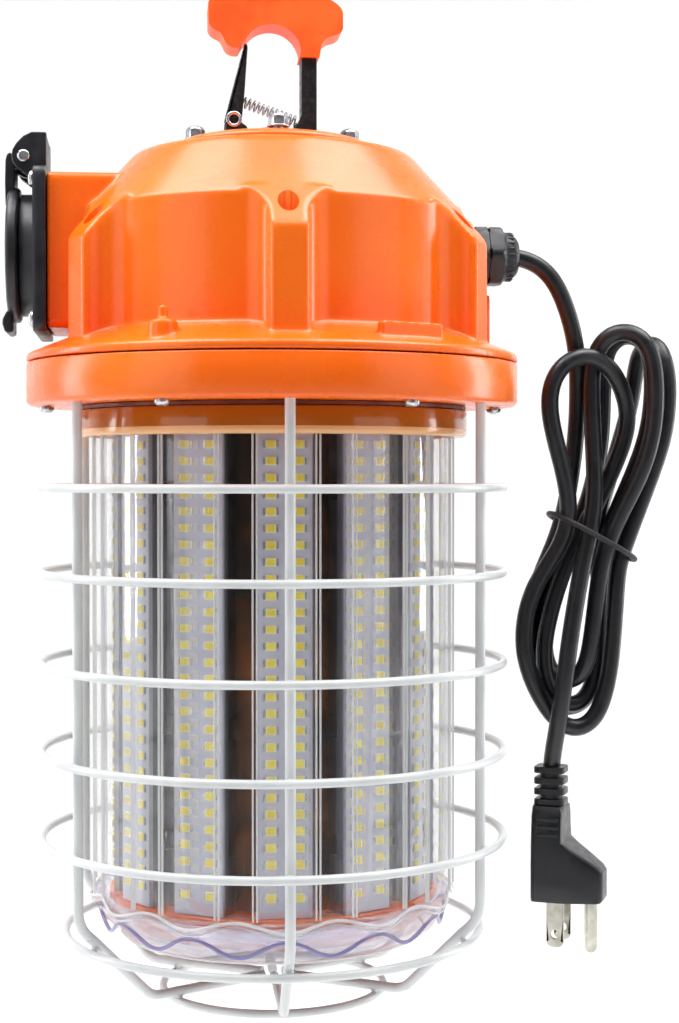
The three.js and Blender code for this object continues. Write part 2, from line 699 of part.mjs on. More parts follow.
// ---- Cable gland on the +X side ----
const hexR = GLAND.acrossFlats / 2 / Math.cos(Math.PI / 6);
const glandBody = cut(
  join(
    bar("x", hexR, GLAND.hexFrom, GLAND.hexFrom + 5, { z: GLAND.z, sides: 6 }),
    bar("x", GLAND.threadR, GLAND.threadEnd, GLAND.hexFrom + 4, { z: GLAND.z, sides: 20 }),
  ),
  bar("x", CORD_R + 1.2, 50, 90, { z: GLAND.z, sides: 12 }),
);
place("gland_body", glandBody, blackPlastic);

const nutFrom = GLAND.hexFrom + 5 + GAP;
const domeShape = [
  [CORD_R + GAP, nutFrom],
  [hexR, nutFrom],
  [hexR, GLAND.hexTo - 1],
  [8.7, GLAND.hexTo],
  [8.2, GLAND.end - 2.4],
  [6, GLAND.end],
  [CORD_R + GAP, GLAND.end],
];
const alongX = (solid) => solid.rotate([0, 90, 0]).translate([0, 0, GLAND.z]);
place("gland_nut", alongX(turned(domeShape, 12)), blackPlastic);

const grommet = cut(
  bar("x", CORD_R + 0.9, 66, GLAND.hexFrom + 5, { z: GLAND.z, sides: 12 }),
  bar("x", CORD_R + GAP, 60, 80, { z: GLAND.z, sides: 12 }),
);
place("gland_seal", grommet, sealRubber);

// ---- Mains lead: out of the gland, down into a tied hank, then to the plug ----
const LEAD_POINTS = [
  [60, 0, -80.6],
  [78, 0, -80.6],
  [89, 0, -80.6],
  [96, 0, -82.6],
  [102.6, -0.5, -88.4],
  [107, 0, -98],
  [108.4, 0.5, -102],
];
place("cord_lead", rod(LEAD_POINTS, CORD_R, { steps: 14, sides: 6 }), blackPvc);

// The hank's outer shape: a wide upper end, a waist under the tie, and a narrower lower end.
function hank() {
  const { upper, lower, tie } = HANK;
  const upperZ = upper.top - upper.r;
  const lowerZ = lower.bottom + lower.r;
  const shape = new THREE.Shape();
  shape.absarc(upper.x, upperZ, upper.r, Math.PI, 0, true);
  shape.lineTo(tie.x + tie.halfWidth, tie.z + tie.halfHeight);
  shape.lineTo(tie.x + tie.halfWidth, tie.z - tie.halfHeight);
  shape.absarc(lower.x, lowerZ, lower.r, 0, -Math.PI, true);
  shape.lineTo(tie.x - tie.halfWidth, tie.z - tie.halfHeight);
  shape.lineTo(tie.x - tie.halfWidth, tie.z + tie.halfHeight);
  shape.closePath();
  return slab(shape, HANK.depth);
}
place("cord_hank", hank(), blackPvc);

// The tie lies round the waist of the hank.
function cordTie() {
  const { x, z, halfWidth } = HANK.tie;
  const thick = 1.5;
  const band = (spare, halfHeight) => {
    const reachX = halfWidth + spare;
    const reachY = HANK.depth / 2 + spare;
    return box([x - reachX, -reachY, z - halfHeight], [x + reachX, reachY, z + halfHeight]);
  };
  return cut(band(GAP + thick, 1.3), band(GAP, 2));
}
place("cord_tie", cordTie(), sealRubber);

const TAIL_POINTS = [
  [TAIL_X, 0, HANK.lower.bottom - GAP],
  [TAIL_X, 0, PLUG.top + GAP],
];
place("cord_tail", rod(TAIL_POINTS, CORD_R, { straight: true, steps: 1, sides: 6 }), blackPvc);

// The plug hangs with its face down, turned about the cord. Its own frame has the blades along X.
const turnPlug = (solid) => solid.rotate([0, 0, PLUG.turn]).translate([TAIL_X, 0, 0]);
function plugBody() {
  const side = outline([
    [PLUG.left, PLUG.relief],
    [PLUG.right, PLUG.relief],
    [PLUG.right, PLUG.relief - 13.5],
    [PLUG.earthEnd, PLUG.bottom + 12],
    [PLUG.earthEnd, PLUG.bottom],
    [PLUG.left, PLUG.bottom],
  ]);
  const plan = new THREE.Shape();
  plan.moveTo(PLUG.left, -PLUG.depth / 2);
  plan.lineTo(PLUG.right, -PLUG.depth / 2);
  plan.lineTo(PLUG.earthEnd, -PLUG.earthDepth / 2);
  plan.lineTo(PLUG.earthEnd, PLUG.earthDepth / 2);
  plan.lineTo(PLUG.right, PLUG.depth / 2);
  plan.lineTo(PLUG.left, PLUG.depth / 2);
  const height = PLUG.relief - PLUG.bottom + 2;
  const upright = new THREE.ExtrudeGeometry(plan, { depth: height, bevelEnabled: false });
  const plug = slab(side, PLUG.depth).intersect(solidOf(upright.translate(0, 0, PLUG.bottom - 1)));
  const neck = column(PLUG.reliefR, PLUG.relief - 1, PLUG.top, { sides: 16 });
  return turnPlug(join(plug, neck));
}
place("plug_body", plugBody(), blackPvc);

const bladeTop = PLUG.bottom - GAP;
[-1, 1].forEach((side, i) => {
  const y = (side * BLADE.spacing) / 2;
  const blade = box(
    [BLADE.centre - BLADE.width / 2, y - BLADE.thick / 2, bladeTop - BLADE.length],
    [BLADE.centre + BLADE.width / 2, y + BLADE.thick / 2, bladeTop],
  );
  place(`plug_blade_${i + 1}`, turnPlug(blade), nickel);
});
const earthPin = column(BLADE.pinR, bladeTop - BLADE.length - 2.5, bladeTop, {
  x: BLADE.centre + BLADE.pinOffset,
  sides: 12,
});
place("plug_ground_pin", turnPlug(earthPin), nickel);

// ---- Wire guard: six rods inside seven hoops ----
rodAngles.forEach((degrees, i) => {
  const { x, y } = onCircle(1, degrees);
  const at = (r, z) => [r * x, r * y, z];
  const bend = 6;
  const slope = Math.SQRT1_2 * bend;
  const points = [
    at(rodCircle, RODS.top),
    at(rodCircle, RODS.knee + bend),
    at(rodCircle - slope * 0.4, RODS.knee - slope * 0.1),
    at(rodCircle - slope - 1, RODS.knee - slope),
    at(RODS.flatR + slope, RODS.flatZ + slope),
    at(RODS.flatR, RODS.flatZ + slope * 0.25),
    at(RODS.flatR - slope, RODS.flatZ),
    at(RODS.endR, RODS.flatZ),
  ];
  place(`guard_rod_${i + 1}`, rod(points, WIRE.rod, { straight: true, steps: 14, sides: 5 }), whiteWire);
});

// The sixth hoop lies against the sloping part of the rods, and the seventh under their flat ends.
const slopeIn = rodCircle - RODS.flatR;
const slopeDown = RODS.knee - RODS.flatZ;
const slopeLength = Math.hypot(slopeIn, slopeDown);
const standOff = WIRE.rod + WIRE.ring + GAP;
const slopeRing = {
  r: rodCircle - END_HOOPS.slopeShare * slopeIn + (standOff * slopeDown) / slopeLength,
  z: RODS.knee - END_HOOPS.slopeShare * slopeDown - (standOff * slopeIn) / slopeLength,
};
const lastRing = { r: END_HOOPS.lastR, z: RODS.flatZ - standOff };
[...GUARD.rings.map((z) => ({ r: GUARD_R, z })), slopeRing, lastRing].forEach(({ r, z }, i) => {
  const hoop = new THREE.TorusGeometry(r, WIRE.ring, 6, 24);
  place(`guard_ring_${i + 1}`, solidOf(hoop.rotateZ(Math.PI / 2).translate(0, 0, z)), whiteWire);
});

export default lamp;
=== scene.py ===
# %% [markdown]
# # Hanging LED work light
# A painted, die-cast housing hangs from a sprung safety hook. A clear cup covers a ring of
# twelve LED boards, a wire guard covers the cup, and a tied mains lead hangs at the side.
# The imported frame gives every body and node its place. Each visible piece is then built finer
# than its frame node, in the same coordinates, and rides on the same body.

# %% Load the frame
import json
import math
import bmesh
import bpy
from mathutils import Matrix, Vector

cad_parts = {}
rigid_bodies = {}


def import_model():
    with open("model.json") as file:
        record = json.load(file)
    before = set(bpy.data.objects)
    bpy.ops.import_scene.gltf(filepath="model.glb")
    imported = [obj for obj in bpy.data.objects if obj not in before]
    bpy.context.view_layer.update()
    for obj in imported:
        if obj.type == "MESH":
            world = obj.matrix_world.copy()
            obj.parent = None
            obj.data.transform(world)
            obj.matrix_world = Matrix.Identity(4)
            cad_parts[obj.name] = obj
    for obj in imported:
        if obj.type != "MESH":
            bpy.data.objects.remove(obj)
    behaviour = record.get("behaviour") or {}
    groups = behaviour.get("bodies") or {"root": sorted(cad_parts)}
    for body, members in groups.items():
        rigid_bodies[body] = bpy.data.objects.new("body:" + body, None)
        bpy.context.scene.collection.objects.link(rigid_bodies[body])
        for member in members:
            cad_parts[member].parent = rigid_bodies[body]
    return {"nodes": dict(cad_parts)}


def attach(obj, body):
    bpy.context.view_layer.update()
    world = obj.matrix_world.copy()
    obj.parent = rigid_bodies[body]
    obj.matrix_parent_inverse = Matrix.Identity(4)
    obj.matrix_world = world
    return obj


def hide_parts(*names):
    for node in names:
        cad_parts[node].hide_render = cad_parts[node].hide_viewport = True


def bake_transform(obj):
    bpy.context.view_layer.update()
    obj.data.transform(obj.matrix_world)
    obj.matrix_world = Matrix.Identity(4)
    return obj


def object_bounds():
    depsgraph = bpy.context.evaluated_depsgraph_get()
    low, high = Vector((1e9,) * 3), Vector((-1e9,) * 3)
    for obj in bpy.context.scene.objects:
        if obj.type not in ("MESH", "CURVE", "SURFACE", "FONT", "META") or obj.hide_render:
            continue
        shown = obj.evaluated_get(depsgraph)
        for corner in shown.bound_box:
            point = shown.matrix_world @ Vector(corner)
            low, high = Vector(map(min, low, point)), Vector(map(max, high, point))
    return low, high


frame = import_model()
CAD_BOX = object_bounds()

MM = 0.001

# %% [markdown]
# ## The camera
# A 65 mm lens on a full-frame sensor stands two thirds of a metre away, six degrees round from
# the front and level with the top of the lens. It looks down by about one degree. The object
# could be moved to suit a camera, but the frame never moves, so the camera does.

# %% Camera
AXIS_DISTANCE = 666 * MM
AZIMUTH = math.radians(-6)
SIDESTEP = 23.9 * MM
EYE_HEIGHT = -160.2 * MM
LOOK_DOWN = math.radians(1.1)
back = Vector((math.sin(AZIMUTH), -math.cos(AZIMUTH), 0))
right = Vector((math.cos(AZIMUTH), math.sin(AZIMUTH), 0))
camera_data = bpy.data.cameras.new("camera")
camera_data.lens = 65.1
camera_data.sensor_width = 36
camera = bpy.data.objects.new("camera", camera_data)
camera.location = back * AXIS_DISTANCE + right * SIDESTEP + Vector((0, 0, EYE_HEIGHT))
camera.rotation_euler = (math.pi / 2 - LOOK_DOWN, 0, AZIMUTH)
bpy.context.collection.objects.link(camera)
bpy.context.scene.camera = camera
print("camera at", [round(value, 3) for value in camera.location])

# %% [markdown]
# ## Helpers for materials
# Colours are easier to compare with samples of paint and plastic as sRGB hex values, but shaders
# add light, so they need linear values. One function turns the one into the other. A second
# one adds any node with its settings and links, so a material reads as a list of its layers.
# Two more use it for what every real surface has: a few sizes of ripple laid over each other,
# and a slow drift in its colour or its gloss.

# %% Colour and node helpers
def linear(hex_colour):
    """An sRGB hex colour as linear red, green, blue and alpha."""
    channels = [int(hex_colour[i:i + 2], 16) / 255 for i in (1, 3, 5)]
    mixed = [c / 12.92 if c <= 0.04045 else ((c + 0.055) / 1.055) ** 2.4 for c in channels]
    return (*mixed, 1.0)


def add(material, kind, inputs=None, **settings):
    """Adds a node. An input that is a socket is linked, and any other is set."""
    tree = material.node_tree
    node = tree.nodes.new("ShaderNode" + kind)
    for name, value in settings.items():
        setattr(node, name, value)
    for socket, value in (inputs or {}).items():
        if isinstance(value, bpy.types.NodeSocket):
            tree.links.new(value, node.inputs[socket])
        else:
            node.inputs[socket].default_value = value
    return node


def new_material(name, colour, roughness, metallic=0.0):
    """A material and its shader, before any ripple or drift."""
    material = bpy.data.materials.new(name)
    material.use_nodes = True
    shader = material.node_tree.nodes["Principled BSDF"]
    shader.inputs["Base Color"].default_value = linear(colour)
    shader.inputs["Roughness"].default_value = roughness
    shader.inputs["Metallic"].default_value = metallic
    return material, shader


def per_metre(millimetres):
    """A texture's scale that gives features of this size."""
    return 1000 / millimetres


def ripple(material, shader, sizes_and_heights):
    """Bumps of several sizes and heights in millimetres, each laid over the last."""
    where = add(material, "TexCoord").outputs["Object"]
    normal = None
    for size, height in sizes_and_heights:
        noise = add(material, "TexNoise", {"Vector": where, "Scale": per_metre(size), "Detail": 2.0})
        inputs = {"Height": noise.outputs["Fac"], "Distance": height * MM, "Strength": 1.0}
        if normal:
            inputs["Normal"] = normal
        normal = add(material, "Bump", inputs).outputs["Normal"]
    material.node_tree.links.new(normal, shader.inputs["Normal"])
    return where


def mottle(material, shader, where, size, low, high, socket="Base Color", ends=(0.35, 0.65)):
    """Lets a broad noise move a colour or a roughness between two values."""
    noise = add(material, "TexNoise", {"Vector": where, "Scale": per_metre(size), "Detail": 3.0})
    ramp = add(material, "ValToRGB", {"Fac": noise.outputs["Fac"]})
    for stop, end, value in zip(ramp.color_ramp.elements, ends, (low, high)):
        stop.position = end
        stop.color = value if isinstance(value, tuple) else (value, value, value, 1)
    material.node_tree.links.new(ramp.outputs["Color"], shader.inputs[socket])


print("orange in linear light:", [round(c, 3) for c in linear("#FF6E1E")])

# %% [markdown]
# ## Three helpers for pieces
# A mesh made in code has no shading marks and no owner. The first helper turns a bmesh into a
# smooth object whose edges stay crisp above an angle, and gives it a material. The second joins
# it to its body and hides the frame nodes that it stands for. The third rounds its edges with a
# Bevel modifier, because a real moulded or cast edge always catches a thin line of light.

# %% Piece helpers
def mesh_piece(name, bm, material, crisp=35):
    """A smooth object from a bmesh, with edges sharper than this angle kept crisp."""
    bmesh.ops.recalc_face_normals(bm, faces=bm.faces)
    mesh = bpy.data.meshes.new(name)
    bm.to_mesh(mesh)
    bm.free()
    mesh.shade_smooth()
    mesh.set_sharp_from_angle(angle=math.radians(crisp))
    mesh.materials.append(material)
    piece = bpy.data.objects.new(name, mesh)
    bpy.context.collection.objects.link(piece)
    return piece


def belongs(piece, body, slot, *nodes):
    """Rides a piece on its body and hides the frame nodes that it stands for."""
    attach(piece, body)
    if nodes:
        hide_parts(*nodes)
    return piece


def soften(piece, width, segments=3, angle=35):
    """Rounds edges with a bevel of this width in millimetres."""
    bevel = piece.modifiers.new("edge", "BEVEL")
    bevel.width = width * MM
    bevel.segments = segments
    bevel.limit_method = "ANGLE"
    bevel.angle_limit = math.radians(angle)
    bevel.harden_normals = True
    return piece


print("helpers ready")

# %% [markdown]
# ## Soft black PVC
# The lead and the plug are soft PVC. Extrusion and moulding leave it smooth, with a faint grey
# sheen and long, shallow waves where the cores press against the jacket. Two noises make the
# waves and the fine skin, and the colour and gloss drift a little.

# %% Soft PVC
soft_pvc, shader = new_material("extruded_soft_black_pvc", "#101115", 0.36)
where = ripple(soft_pvc, shader, [(14, 0.25), (1.0, 0.02)])
mottle(soft_pvc, shader, where, 12, linear("#0E0F13"), linear("#1A1B21"))
mottle(soft_pvc, shader, where, 3, 0.28, 0.42, "Roughness")
print(soft_pvc.name, len(soft_pvc.node_tree.nodes), "nodes")

# %% [markdown]
# ## The mains lead
# A round lead of 6.3 mm leaves the gland, turns down under its own weight and is folded into a
# hank with four folds at the top and four at the bottom, held by one thin tie. The tail hangs in
# front with the plug on it. It could be simulated, but a tied hank keeps the shape it was given,
# so it is one smooth curve through points in millimetres. Each run has its own place in the
# tie, and the folds fan out in depth, so that no run lies inside another.

# %% The lead's route
LEAD = [(76, 0, -80.6), (84, 0, -80.6), (89, 0, -80.6), (96, 0, -82.6), (102.6, -0.5, -88.4),
        (107, 0, -98), (109.8, 1, -106), (112, 3, -115), (112.9, 5, -127), (112.8, 6, -143.4),
        (110.5, 6.5, -161.7), (106.5, 5, -181)]
FOLD_1 = [(99.5, 9, -197), (95.5, 11, -213), (97, 13, -228), (102, 14.5, -238),
          (104.8, 15, -244.8), (111.5, 15, -247.6), (118.2, 15, -244.8), (121.6, 15, -238),
          (124.5, 14.5, -225), (124.5, 13.5, -205), (120, 11, -181)]
TOP_1 = [(126, 14, -165), (132.5, 17, -145), (136.8, 18.5, -132), (138, 18, -121),
         (138.9, 15.1, -113.6), (141, 8, -110.6), (143.1, 1, -113.6), (144.4, -2, -121),
         (144.9, -3, -130), (143.6, -3, -143.4), (141.4, -2.5, -152.2), (135.5, -1, -169),
         (129.3, 0, -185.8)]
FOLD_2 = [(126.6, -1, -194), (125.8, -1.5, -204), (124.8, -1.5, -218.3), (123.8, -1.5, -230),
          (121.2, -1.5, -242), (117.6, -1.5, -249.8), (110.9, -1.5, -253.4), (103.7, -2, -249.8),
          (99, -2, -243.3), (95.2, -2.5, -236.5), (91.8, -3, -227.5), (90.7, -3, -216.5),
          (94, -3.5, -201.2), (101.2, -4, -190.9), (106.5, -5, -181)]
TOP_2 = [(107.2, -7, -169), (103.6, -8.5, -155), (100.3, -9, -143.4), (98.4, -9.5, -131),
         (102.8, -9.2, -120.3), (112.5, -7.5, -115.9), (122.5, -4.5, -119.6), (128.9, -1.5, -130.6),
         (130.6, 0, -139), (129, 0, -148), (123.6, 0.5, -161), (115.5, 2, -178)]
FOLD_3 = [(108.5, 2.5, -190.5), (103.2, 3, -207), (99.9, 3, -221), (100.2, 3, -232),
          (103.2, 3, -240.5), (110.3, 3, -245.8), (117.3, 4, -241.5), (120.2, 5, -231),
          (121.2, 5.5, -213), (122.7, 7, -190.9), (126, 8, -179)]
TOP_3 = [(131, 8, -168), (136, 6, -155), (139.4, 4, -143.4), (140.6, 3, -130), (140.2, 3, -117.5),
         (138, 4.8, -110.4), (132.7, 9, -107.4), (127.4, 13.2, -110.4), (125.2, 15, -117.5),
         (124.8, 15, -130), (124, 13.5, -146), (120.5, 11, -163), (113.5, 8.5, -181)]
FOLD_4 = [(107, 10, -194), (102.3, 11, -210), (101.5, 11, -225), (103.6, 9, -233),
          (108.5, 4, -236.4), (113.4, -1, -233), (115.8, -3, -224.5), (117.6, -4, -206),
          (119.6, -5, -190.9), (123, -5.5, -181)]
TOP_4 = [(127.3, -7.5, -171), (132.3, -9.5, -160.6), (136, -11, -149), (137.6, -12, -137),
         (137.2, -12, -119.5), (134, -10.2, -110.6), (127, -6, -106.9), (120, -1.8, -110.6),
         (117, 0, -119.5), (116.8, 0, -131), (117.1, -1, -143.4), (117.1, -4, -157),
         (116.6, -6.5, -169), (114.3, -8.5, -181)]
TAIL = [(111.6, -9.5, -190.9), (110.1, -10, -198.6), (106.8, -10.5, -216.5), (105, -10.5, -231.9),
        (103.5, -9.5, -243), (102.5, -6, -254.9), (102.1, -1, -264), (102.1, 0, -272)]
ROUTE = LEAD + FOLD_1 + TOP_1 + FOLD_2 + TOP_2 + FOLD_3 + TOP_3 + FOLD_4 + TOP_4 + TAIL
CORD_DIAMETER = 6.3


def smooth_path(points, steps=12):
    """A centripetal Catmull-Rom curve through points, which never overshoots a tight fold."""
    spots = [Vector(p) for p in points]
    spots = [2 * spots[0] - spots[1]] + spots + [2 * spots[-1] - spots[-2]]
    path = []
    for a, b, c, d in zip(spots, spots[1:], spots[2:], spots[3:]):
        t = [0.0]
        for first, second in ((a, b), (b, c), (c, d)):
            t.append(t[-1] + max((second - first).length, 1e-6) ** 0.5)
        for step in range(steps):
            u = t[1] + (t[2] - t[1]) * step / steps
            ab = a.lerp(b, (u - t[0]) / (t[1] - t[0]))
            bc = b.lerp(c, (u - t[1]) / (t[2] - t[1]))
            cd = c.lerp(d, (u - t[2]) / (t[3] - t[2]))
            abc = ab.lerp(bc, (u - t[0]) / (t[2] - t[0]))
            bcd = bc.lerp(cd, (u - t[1]) / (t[3] - t[1]))
            path.append(abc.lerp(bcd, (u - t[1]) / (t[2] - t[1])))
    return path + [spots[-2]]


def relax(path, rounds):
    """Evens out a path's bends, with its ends held."""
    for _ in range(rounds):
        between = [(a + 2 * b + c) / 4 for a, b, c in zip(path, path[1:], path[2:])]
        path = [path[0], *between, path[-1]]
    return path


route = relax(smooth_path(ROUTE, 6), 20)
cord_length = sum((b - a).length for a, b in zip(route, route[1:]))
print("lead:", len(route), "points,", round(cord_length), "mm")

# %% [markdown]
# The route becomes a poly curve with a round bevel. A curve object stays light, keeps its own
# centreline for anyone who wants to measure it, and needs no mesh editing.

# %% The lead
def wire_piece(name, path, diameter, material, closed=False, sides=5):
    """A round wire of this diameter along a path, both in millimetres."""
    curve = bpy.data.curves.new(name, "CURVE")
    curve.dimensions = "3D"
    curve.bevel_depth = diameter / 2 * MM
    curve.bevel_resolution = sides
    curve.use_fill_caps = not closed
    spline = curve.splines.new("POLY")
    spline.points.add(len(path) - 1)
    for point, place in zip(spline.points, path):
        point.co = (*(Vector(place) * MM), 1)
    spline.use_cyclic_u = closed
    curve.materials.append(material)
    piece = bpy.data.objects.new(name, curve)
    bpy.context.collection.objects.link(piece)
    return piece


lead = wire_piece("mains_lead", route, CORD_DIAMETER, soft_pvc, sides=6)
belongs(lead, "lamp", "black_pvc", "cord_lead", "cord_hank", "cord_tail")
print("lead on body lamp")

# %% [markdown]
# ## The tie
# A thin coated wire goes once round the hank and slopes down to the right. Its ends are twisted
# together at the back, so a short two-strand twist stands off there. Its coat is the same matt
# black rubber as the seals. The ring is a squared circle, which lies closer round a hank than
# an ellipse does.

# %% The tie
seal_rubber, shader = new_material("moulded_black_rubber", "#232427", 0.6)
where = ripple(seal_rubber, shader, [(1.2, 0.05)])
mottle(seal_rubber, shader, where, 6, linear("#1E1F22"), linear("#2C2D30"))

TIE = {"x": 117.3, "y": 1.2, "z": -182.4, "reach_x": 15.4, "reach_y": 13.6, "fall": -0.55}
TIE_WIRE, TWIST_WIRE, TWIST_RADIUS = 2.0, 1.6, 1.1


def full_turn(count):
    """The angles of equal steps round a full turn."""
    return [2 * math.pi * i / count for i in range(count)]


def squared(value, power=0.8):
    """Pushes a sine or cosine outwards, so that a circle becomes squarer."""
    return math.copysign(abs(value) ** power, value)


def tie_point(angle):
    across = TIE["reach_x"] * squared(math.cos(angle))
    deep = TIE["reach_y"] * squared(math.sin(angle))
    return (TIE["x"] + across, TIE["y"] + deep, TIE["z"] + TIE["fall"] * across)


tie_ring = [tie_point(angle) for angle in full_turn(72)]
tie = wire_piece("cord_tie_ring", tie_ring, TIE_WIRE, seal_rubber, closed=True)
belongs(tie, "lamp", "seal_rubber", "cord_tie")
for strand in (0, 1):
    twist = []
    for i in range(40):
        turn = i * 0.45 + strand * math.pi
        twist.append((TIE["x"] + TWIST_RADIUS * math.cos(turn), TIE["y"] + TIE["reach_y"] + 0.4 + i * 0.2,
                      TIE["z"] - i * 0.12 + TWIST_RADIUS * math.sin(turn)))
    end = wire_piece(f"cord_tie_end_{strand + 1}", twist, TWIST_WIRE, seal_rubber)
    belongs(end, "lamp", "seal_rubber")
print("tie ring and two twisted ends")

# %% [markdown]
# ## The plug
# The moulded plug has a ribbed strain relief above, a block that holds the two flat blades, and
# a lower, narrower wing that holds the round earth pin. A box with a bevel would miss the
# sloping shoulder, so the body is lofted: rounded outlines at several heights are joined by
# faces, and each outline is drawn from one rule for how wide and deep the plug is there.

# %% Lofting helpers
def rounded_outline(corners, radius, steps=4):
    """A closed outline with its corners rounded, from (x, y) corners in millimetres."""
    outline = []
    count = len(corners)
    for i in range(count):
        corner = Vector(corners[i])
        before, after = Vector(corners[i - 1]), Vector(corners[(i + 1) % count])
        reach_in = min(radius, (before - corner).length * 0.45)
        reach_out = min(radius, (after - corner).length * 0.45)
        start = corner + (before - corner).normalized() * reach_in
        end = corner + (after - corner).normalized() * reach_out
        for step in range(steps + 1):
            u = step / steps
            outline.append(start.lerp(corner, u).lerp(corner.lerp(end, u), u))
    return outline


def loft(bm, sections, closed=True):
    """Joins closed outlines of equal length, given as lists of 3-D points in millimetres."""
    rings = [[bm.verts.new(Vector(p) * MM) for p in section] for section in sections]
    for low, high in zip(rings, rings[1:]):
        for i in range(len(low)):
            j = (i + 1) % len(low)
            bm.faces.new((low[i], low[j], high[j], high[i]))
    if closed:
        bm.faces.new(rings[0][::-1])
        bm.faces.new(rings[-1])
    return rings


PLUG_AT = Vector((102.1, 0, 0))
PLUG_TURN = math.radians(-25)


def plug_place(x, y, z):
    """Takes a point of the plug, drawn square to the front, to its place under the lead."""
    turned_x = x * math.cos(PLUG_TURN) - y * math.sin(PLUG_TURN)
    turned_y = x * math.sin(PLUG_TURN) + y * math.cos(PLUG_TURN)
    return Vector((turned_x, turned_y, z)) + PLUG_AT


print("plug turned", round(math.degrees(PLUG_TURN)), "degrees about the lead")

# %% The plug's body
BLOCK_LEFT, BLOCK_RIGHT, EARTH_END = -5.8, 5.7, 20
WING_DEPTH = 11
# Each level is a height, how far the plug reaches to the earth pin's side there, and its depth.
PLUG_LEVELS = [(-280.4, 5.0, 12.5), (-281.2, 5.7, 14.5), (-284, 5.7, 17.2), (-288, 5.7, 18.2),
               (-293.2, 5.8, 19.4), (-295.2, 8.4, 19.6), (-299.2, 14.6, 19.8), (-302, 18.6, 20),
               (-303.8, 20, 20), (-308, 20, 20), (-313.6, 20, 20), (-314.9, 19.2, 18.8)]


def plug_section(z, reach, depth):
    share = max(0, min(1, (reach - BLOCK_RIGHT) / (EARTH_END - BLOCK_RIGHT)))
    wing = depth + (WING_DEPTH - depth) * share
    neck = min(reach - 1.5, BLOCK_RIGHT)
    corners = [(BLOCK_LEFT, -depth / 2), (neck, -depth / 2), (reach, -wing / 2),
               (reach, wing / 2), (neck, depth / 2), (BLOCK_LEFT, depth / 2)]
    return [plug_place(x, y, z) for x, y in rounded_outline(corners, 2.2)]


bm = bmesh.new()
loft(bm, [plug_section(*level) for level in PLUG_LEVELS])
plug = soften(mesh_piece("plug_body_moulding", bm, soft_pvc, crisp=40), 0.5)
belongs(plug, "lamp", "black_pvc", "plug_body")
print("plug body:", len(plug.data.polygons), "faces")

# %% [markdown]
# Flat blocks with gaps between them make the strain relief, so that it can bend with the lead.
# Three short grip ribs stand on each broad face, where fingers pull the plug out.

# %% Strain relief and grip ribs
def plug_block(bm, x, y, z, radius=1.2):
    corners = [(x[0], y[0]), (x[1], y[0]), (x[1], y[1]), (x[0], y[1])]
    shape = rounded_outline(corners, radius, 3)
    loft(bm, [[plug_place(px, py, level) for px, py in shape] for level in z])


bm = bmesh.new()
for level in (-266.3, -270.3, -274.2, -278.1):
    plug_block(bm, (-5.7, 5.7), (-5.2, 5.2), (level - 2.4, level), 2.4)
plug_block(bm, (-3.9, 3.9), (-3.9, 3.9), (-281.4, -266.8), 3.2)
relief = belongs(soften(mesh_piece("plug_strain_relief", bm, soft_pvc), 0.45), "lamp", "black_pvc")

bm = bmesh.new()
for level in (-284.2, -287, -289.8):
    for side in (-1, 1):
        plug_block(bm, (-3.4, 4.6), sorted((side * 8.2, side * 9.75)), (level - 1.3, level), 0.5)
ribs = belongs(soften(mesh_piece("plug_grip_ribs", bm, soft_pvc), 0.3), "lamp", "black_pvc")
print("strain relief and six grip ribs")

# %% [markdown]
# ## The blades and the earth pin
# Two flat blades with rounded ends, each with a round hole near its tip, and a longer round pin
# for earth with a chamfered end. They are nickel-plated brass, drawn and stamped, so the metal
# has fine lengthwise lines. The lines are a noise stretched sixty times along the blade. Real
# ones are closer than 0.1 mm, and these are drawn 0.35 mm apart so that they show.

# %% Nickel plate
def drawn_lines(material, shader, spacing, height, axis=2):
    """Fine lines along one axis, with their spacing and height in millimetres."""
    stretch = [per_metre(spacing)] * 3
    stretch[axis] = per_metre(spacing * 60)
    where = add(material, "TexCoord").outputs["Object"]
    mapping = add(material, "Mapping", {"Vector": where, "Scale": stretch})
    lines = {"Vector": mapping.outputs["Vector"], "Scale": 1.0, "Detail": 2.0}
    noise = add(material, "TexNoise", lines)
    bump = add(material, "Bump", {"Height": noise.outputs["Fac"], "Distance": height * MM})
    material.node_tree.links.new(bump.outputs["Normal"], shader.inputs["Normal"])
    return where


nickel, shader = new_material("nickel_plated_brass", "#BDBBB0", 0.26, 1.0)
where = drawn_lines(nickel, shader, 0.35, 0.02)
mottle(nickel, shader, where, 4, linear("#AFADA1"), linear("#CDCBC1"))
print(nickel.name)

# %% Blades and pin
BLADE = {"width": 6.35, "thick": 1.5, "bottom": -331.4, "top": -314.4, "corner": 2.2,
         "hole": 1.6, "hole_up": 4.6, "centre": 3, "apart": 12.7}
PIN_FROM_BLADES = 11.9


def blade_outline(steps=10):
    """The front view of a blade: straight sides and two rounded corners at its tip."""
    half, corner = BLADE["width"] / 2, BLADE["corner"]
    points = [(half, BLADE["top"]), (-half, BLADE["top"])]
    for centre_x, first_angle in ((-half + corner, math.pi), (half - corner, 1.5 * math.pi)):
        for i in range(steps + 1):
            a = first_angle + i / steps * math.pi / 2
            points.append((centre_x + corner * math.cos(a), BLADE["bottom"] + corner + corner * math.sin(a)))
    return points


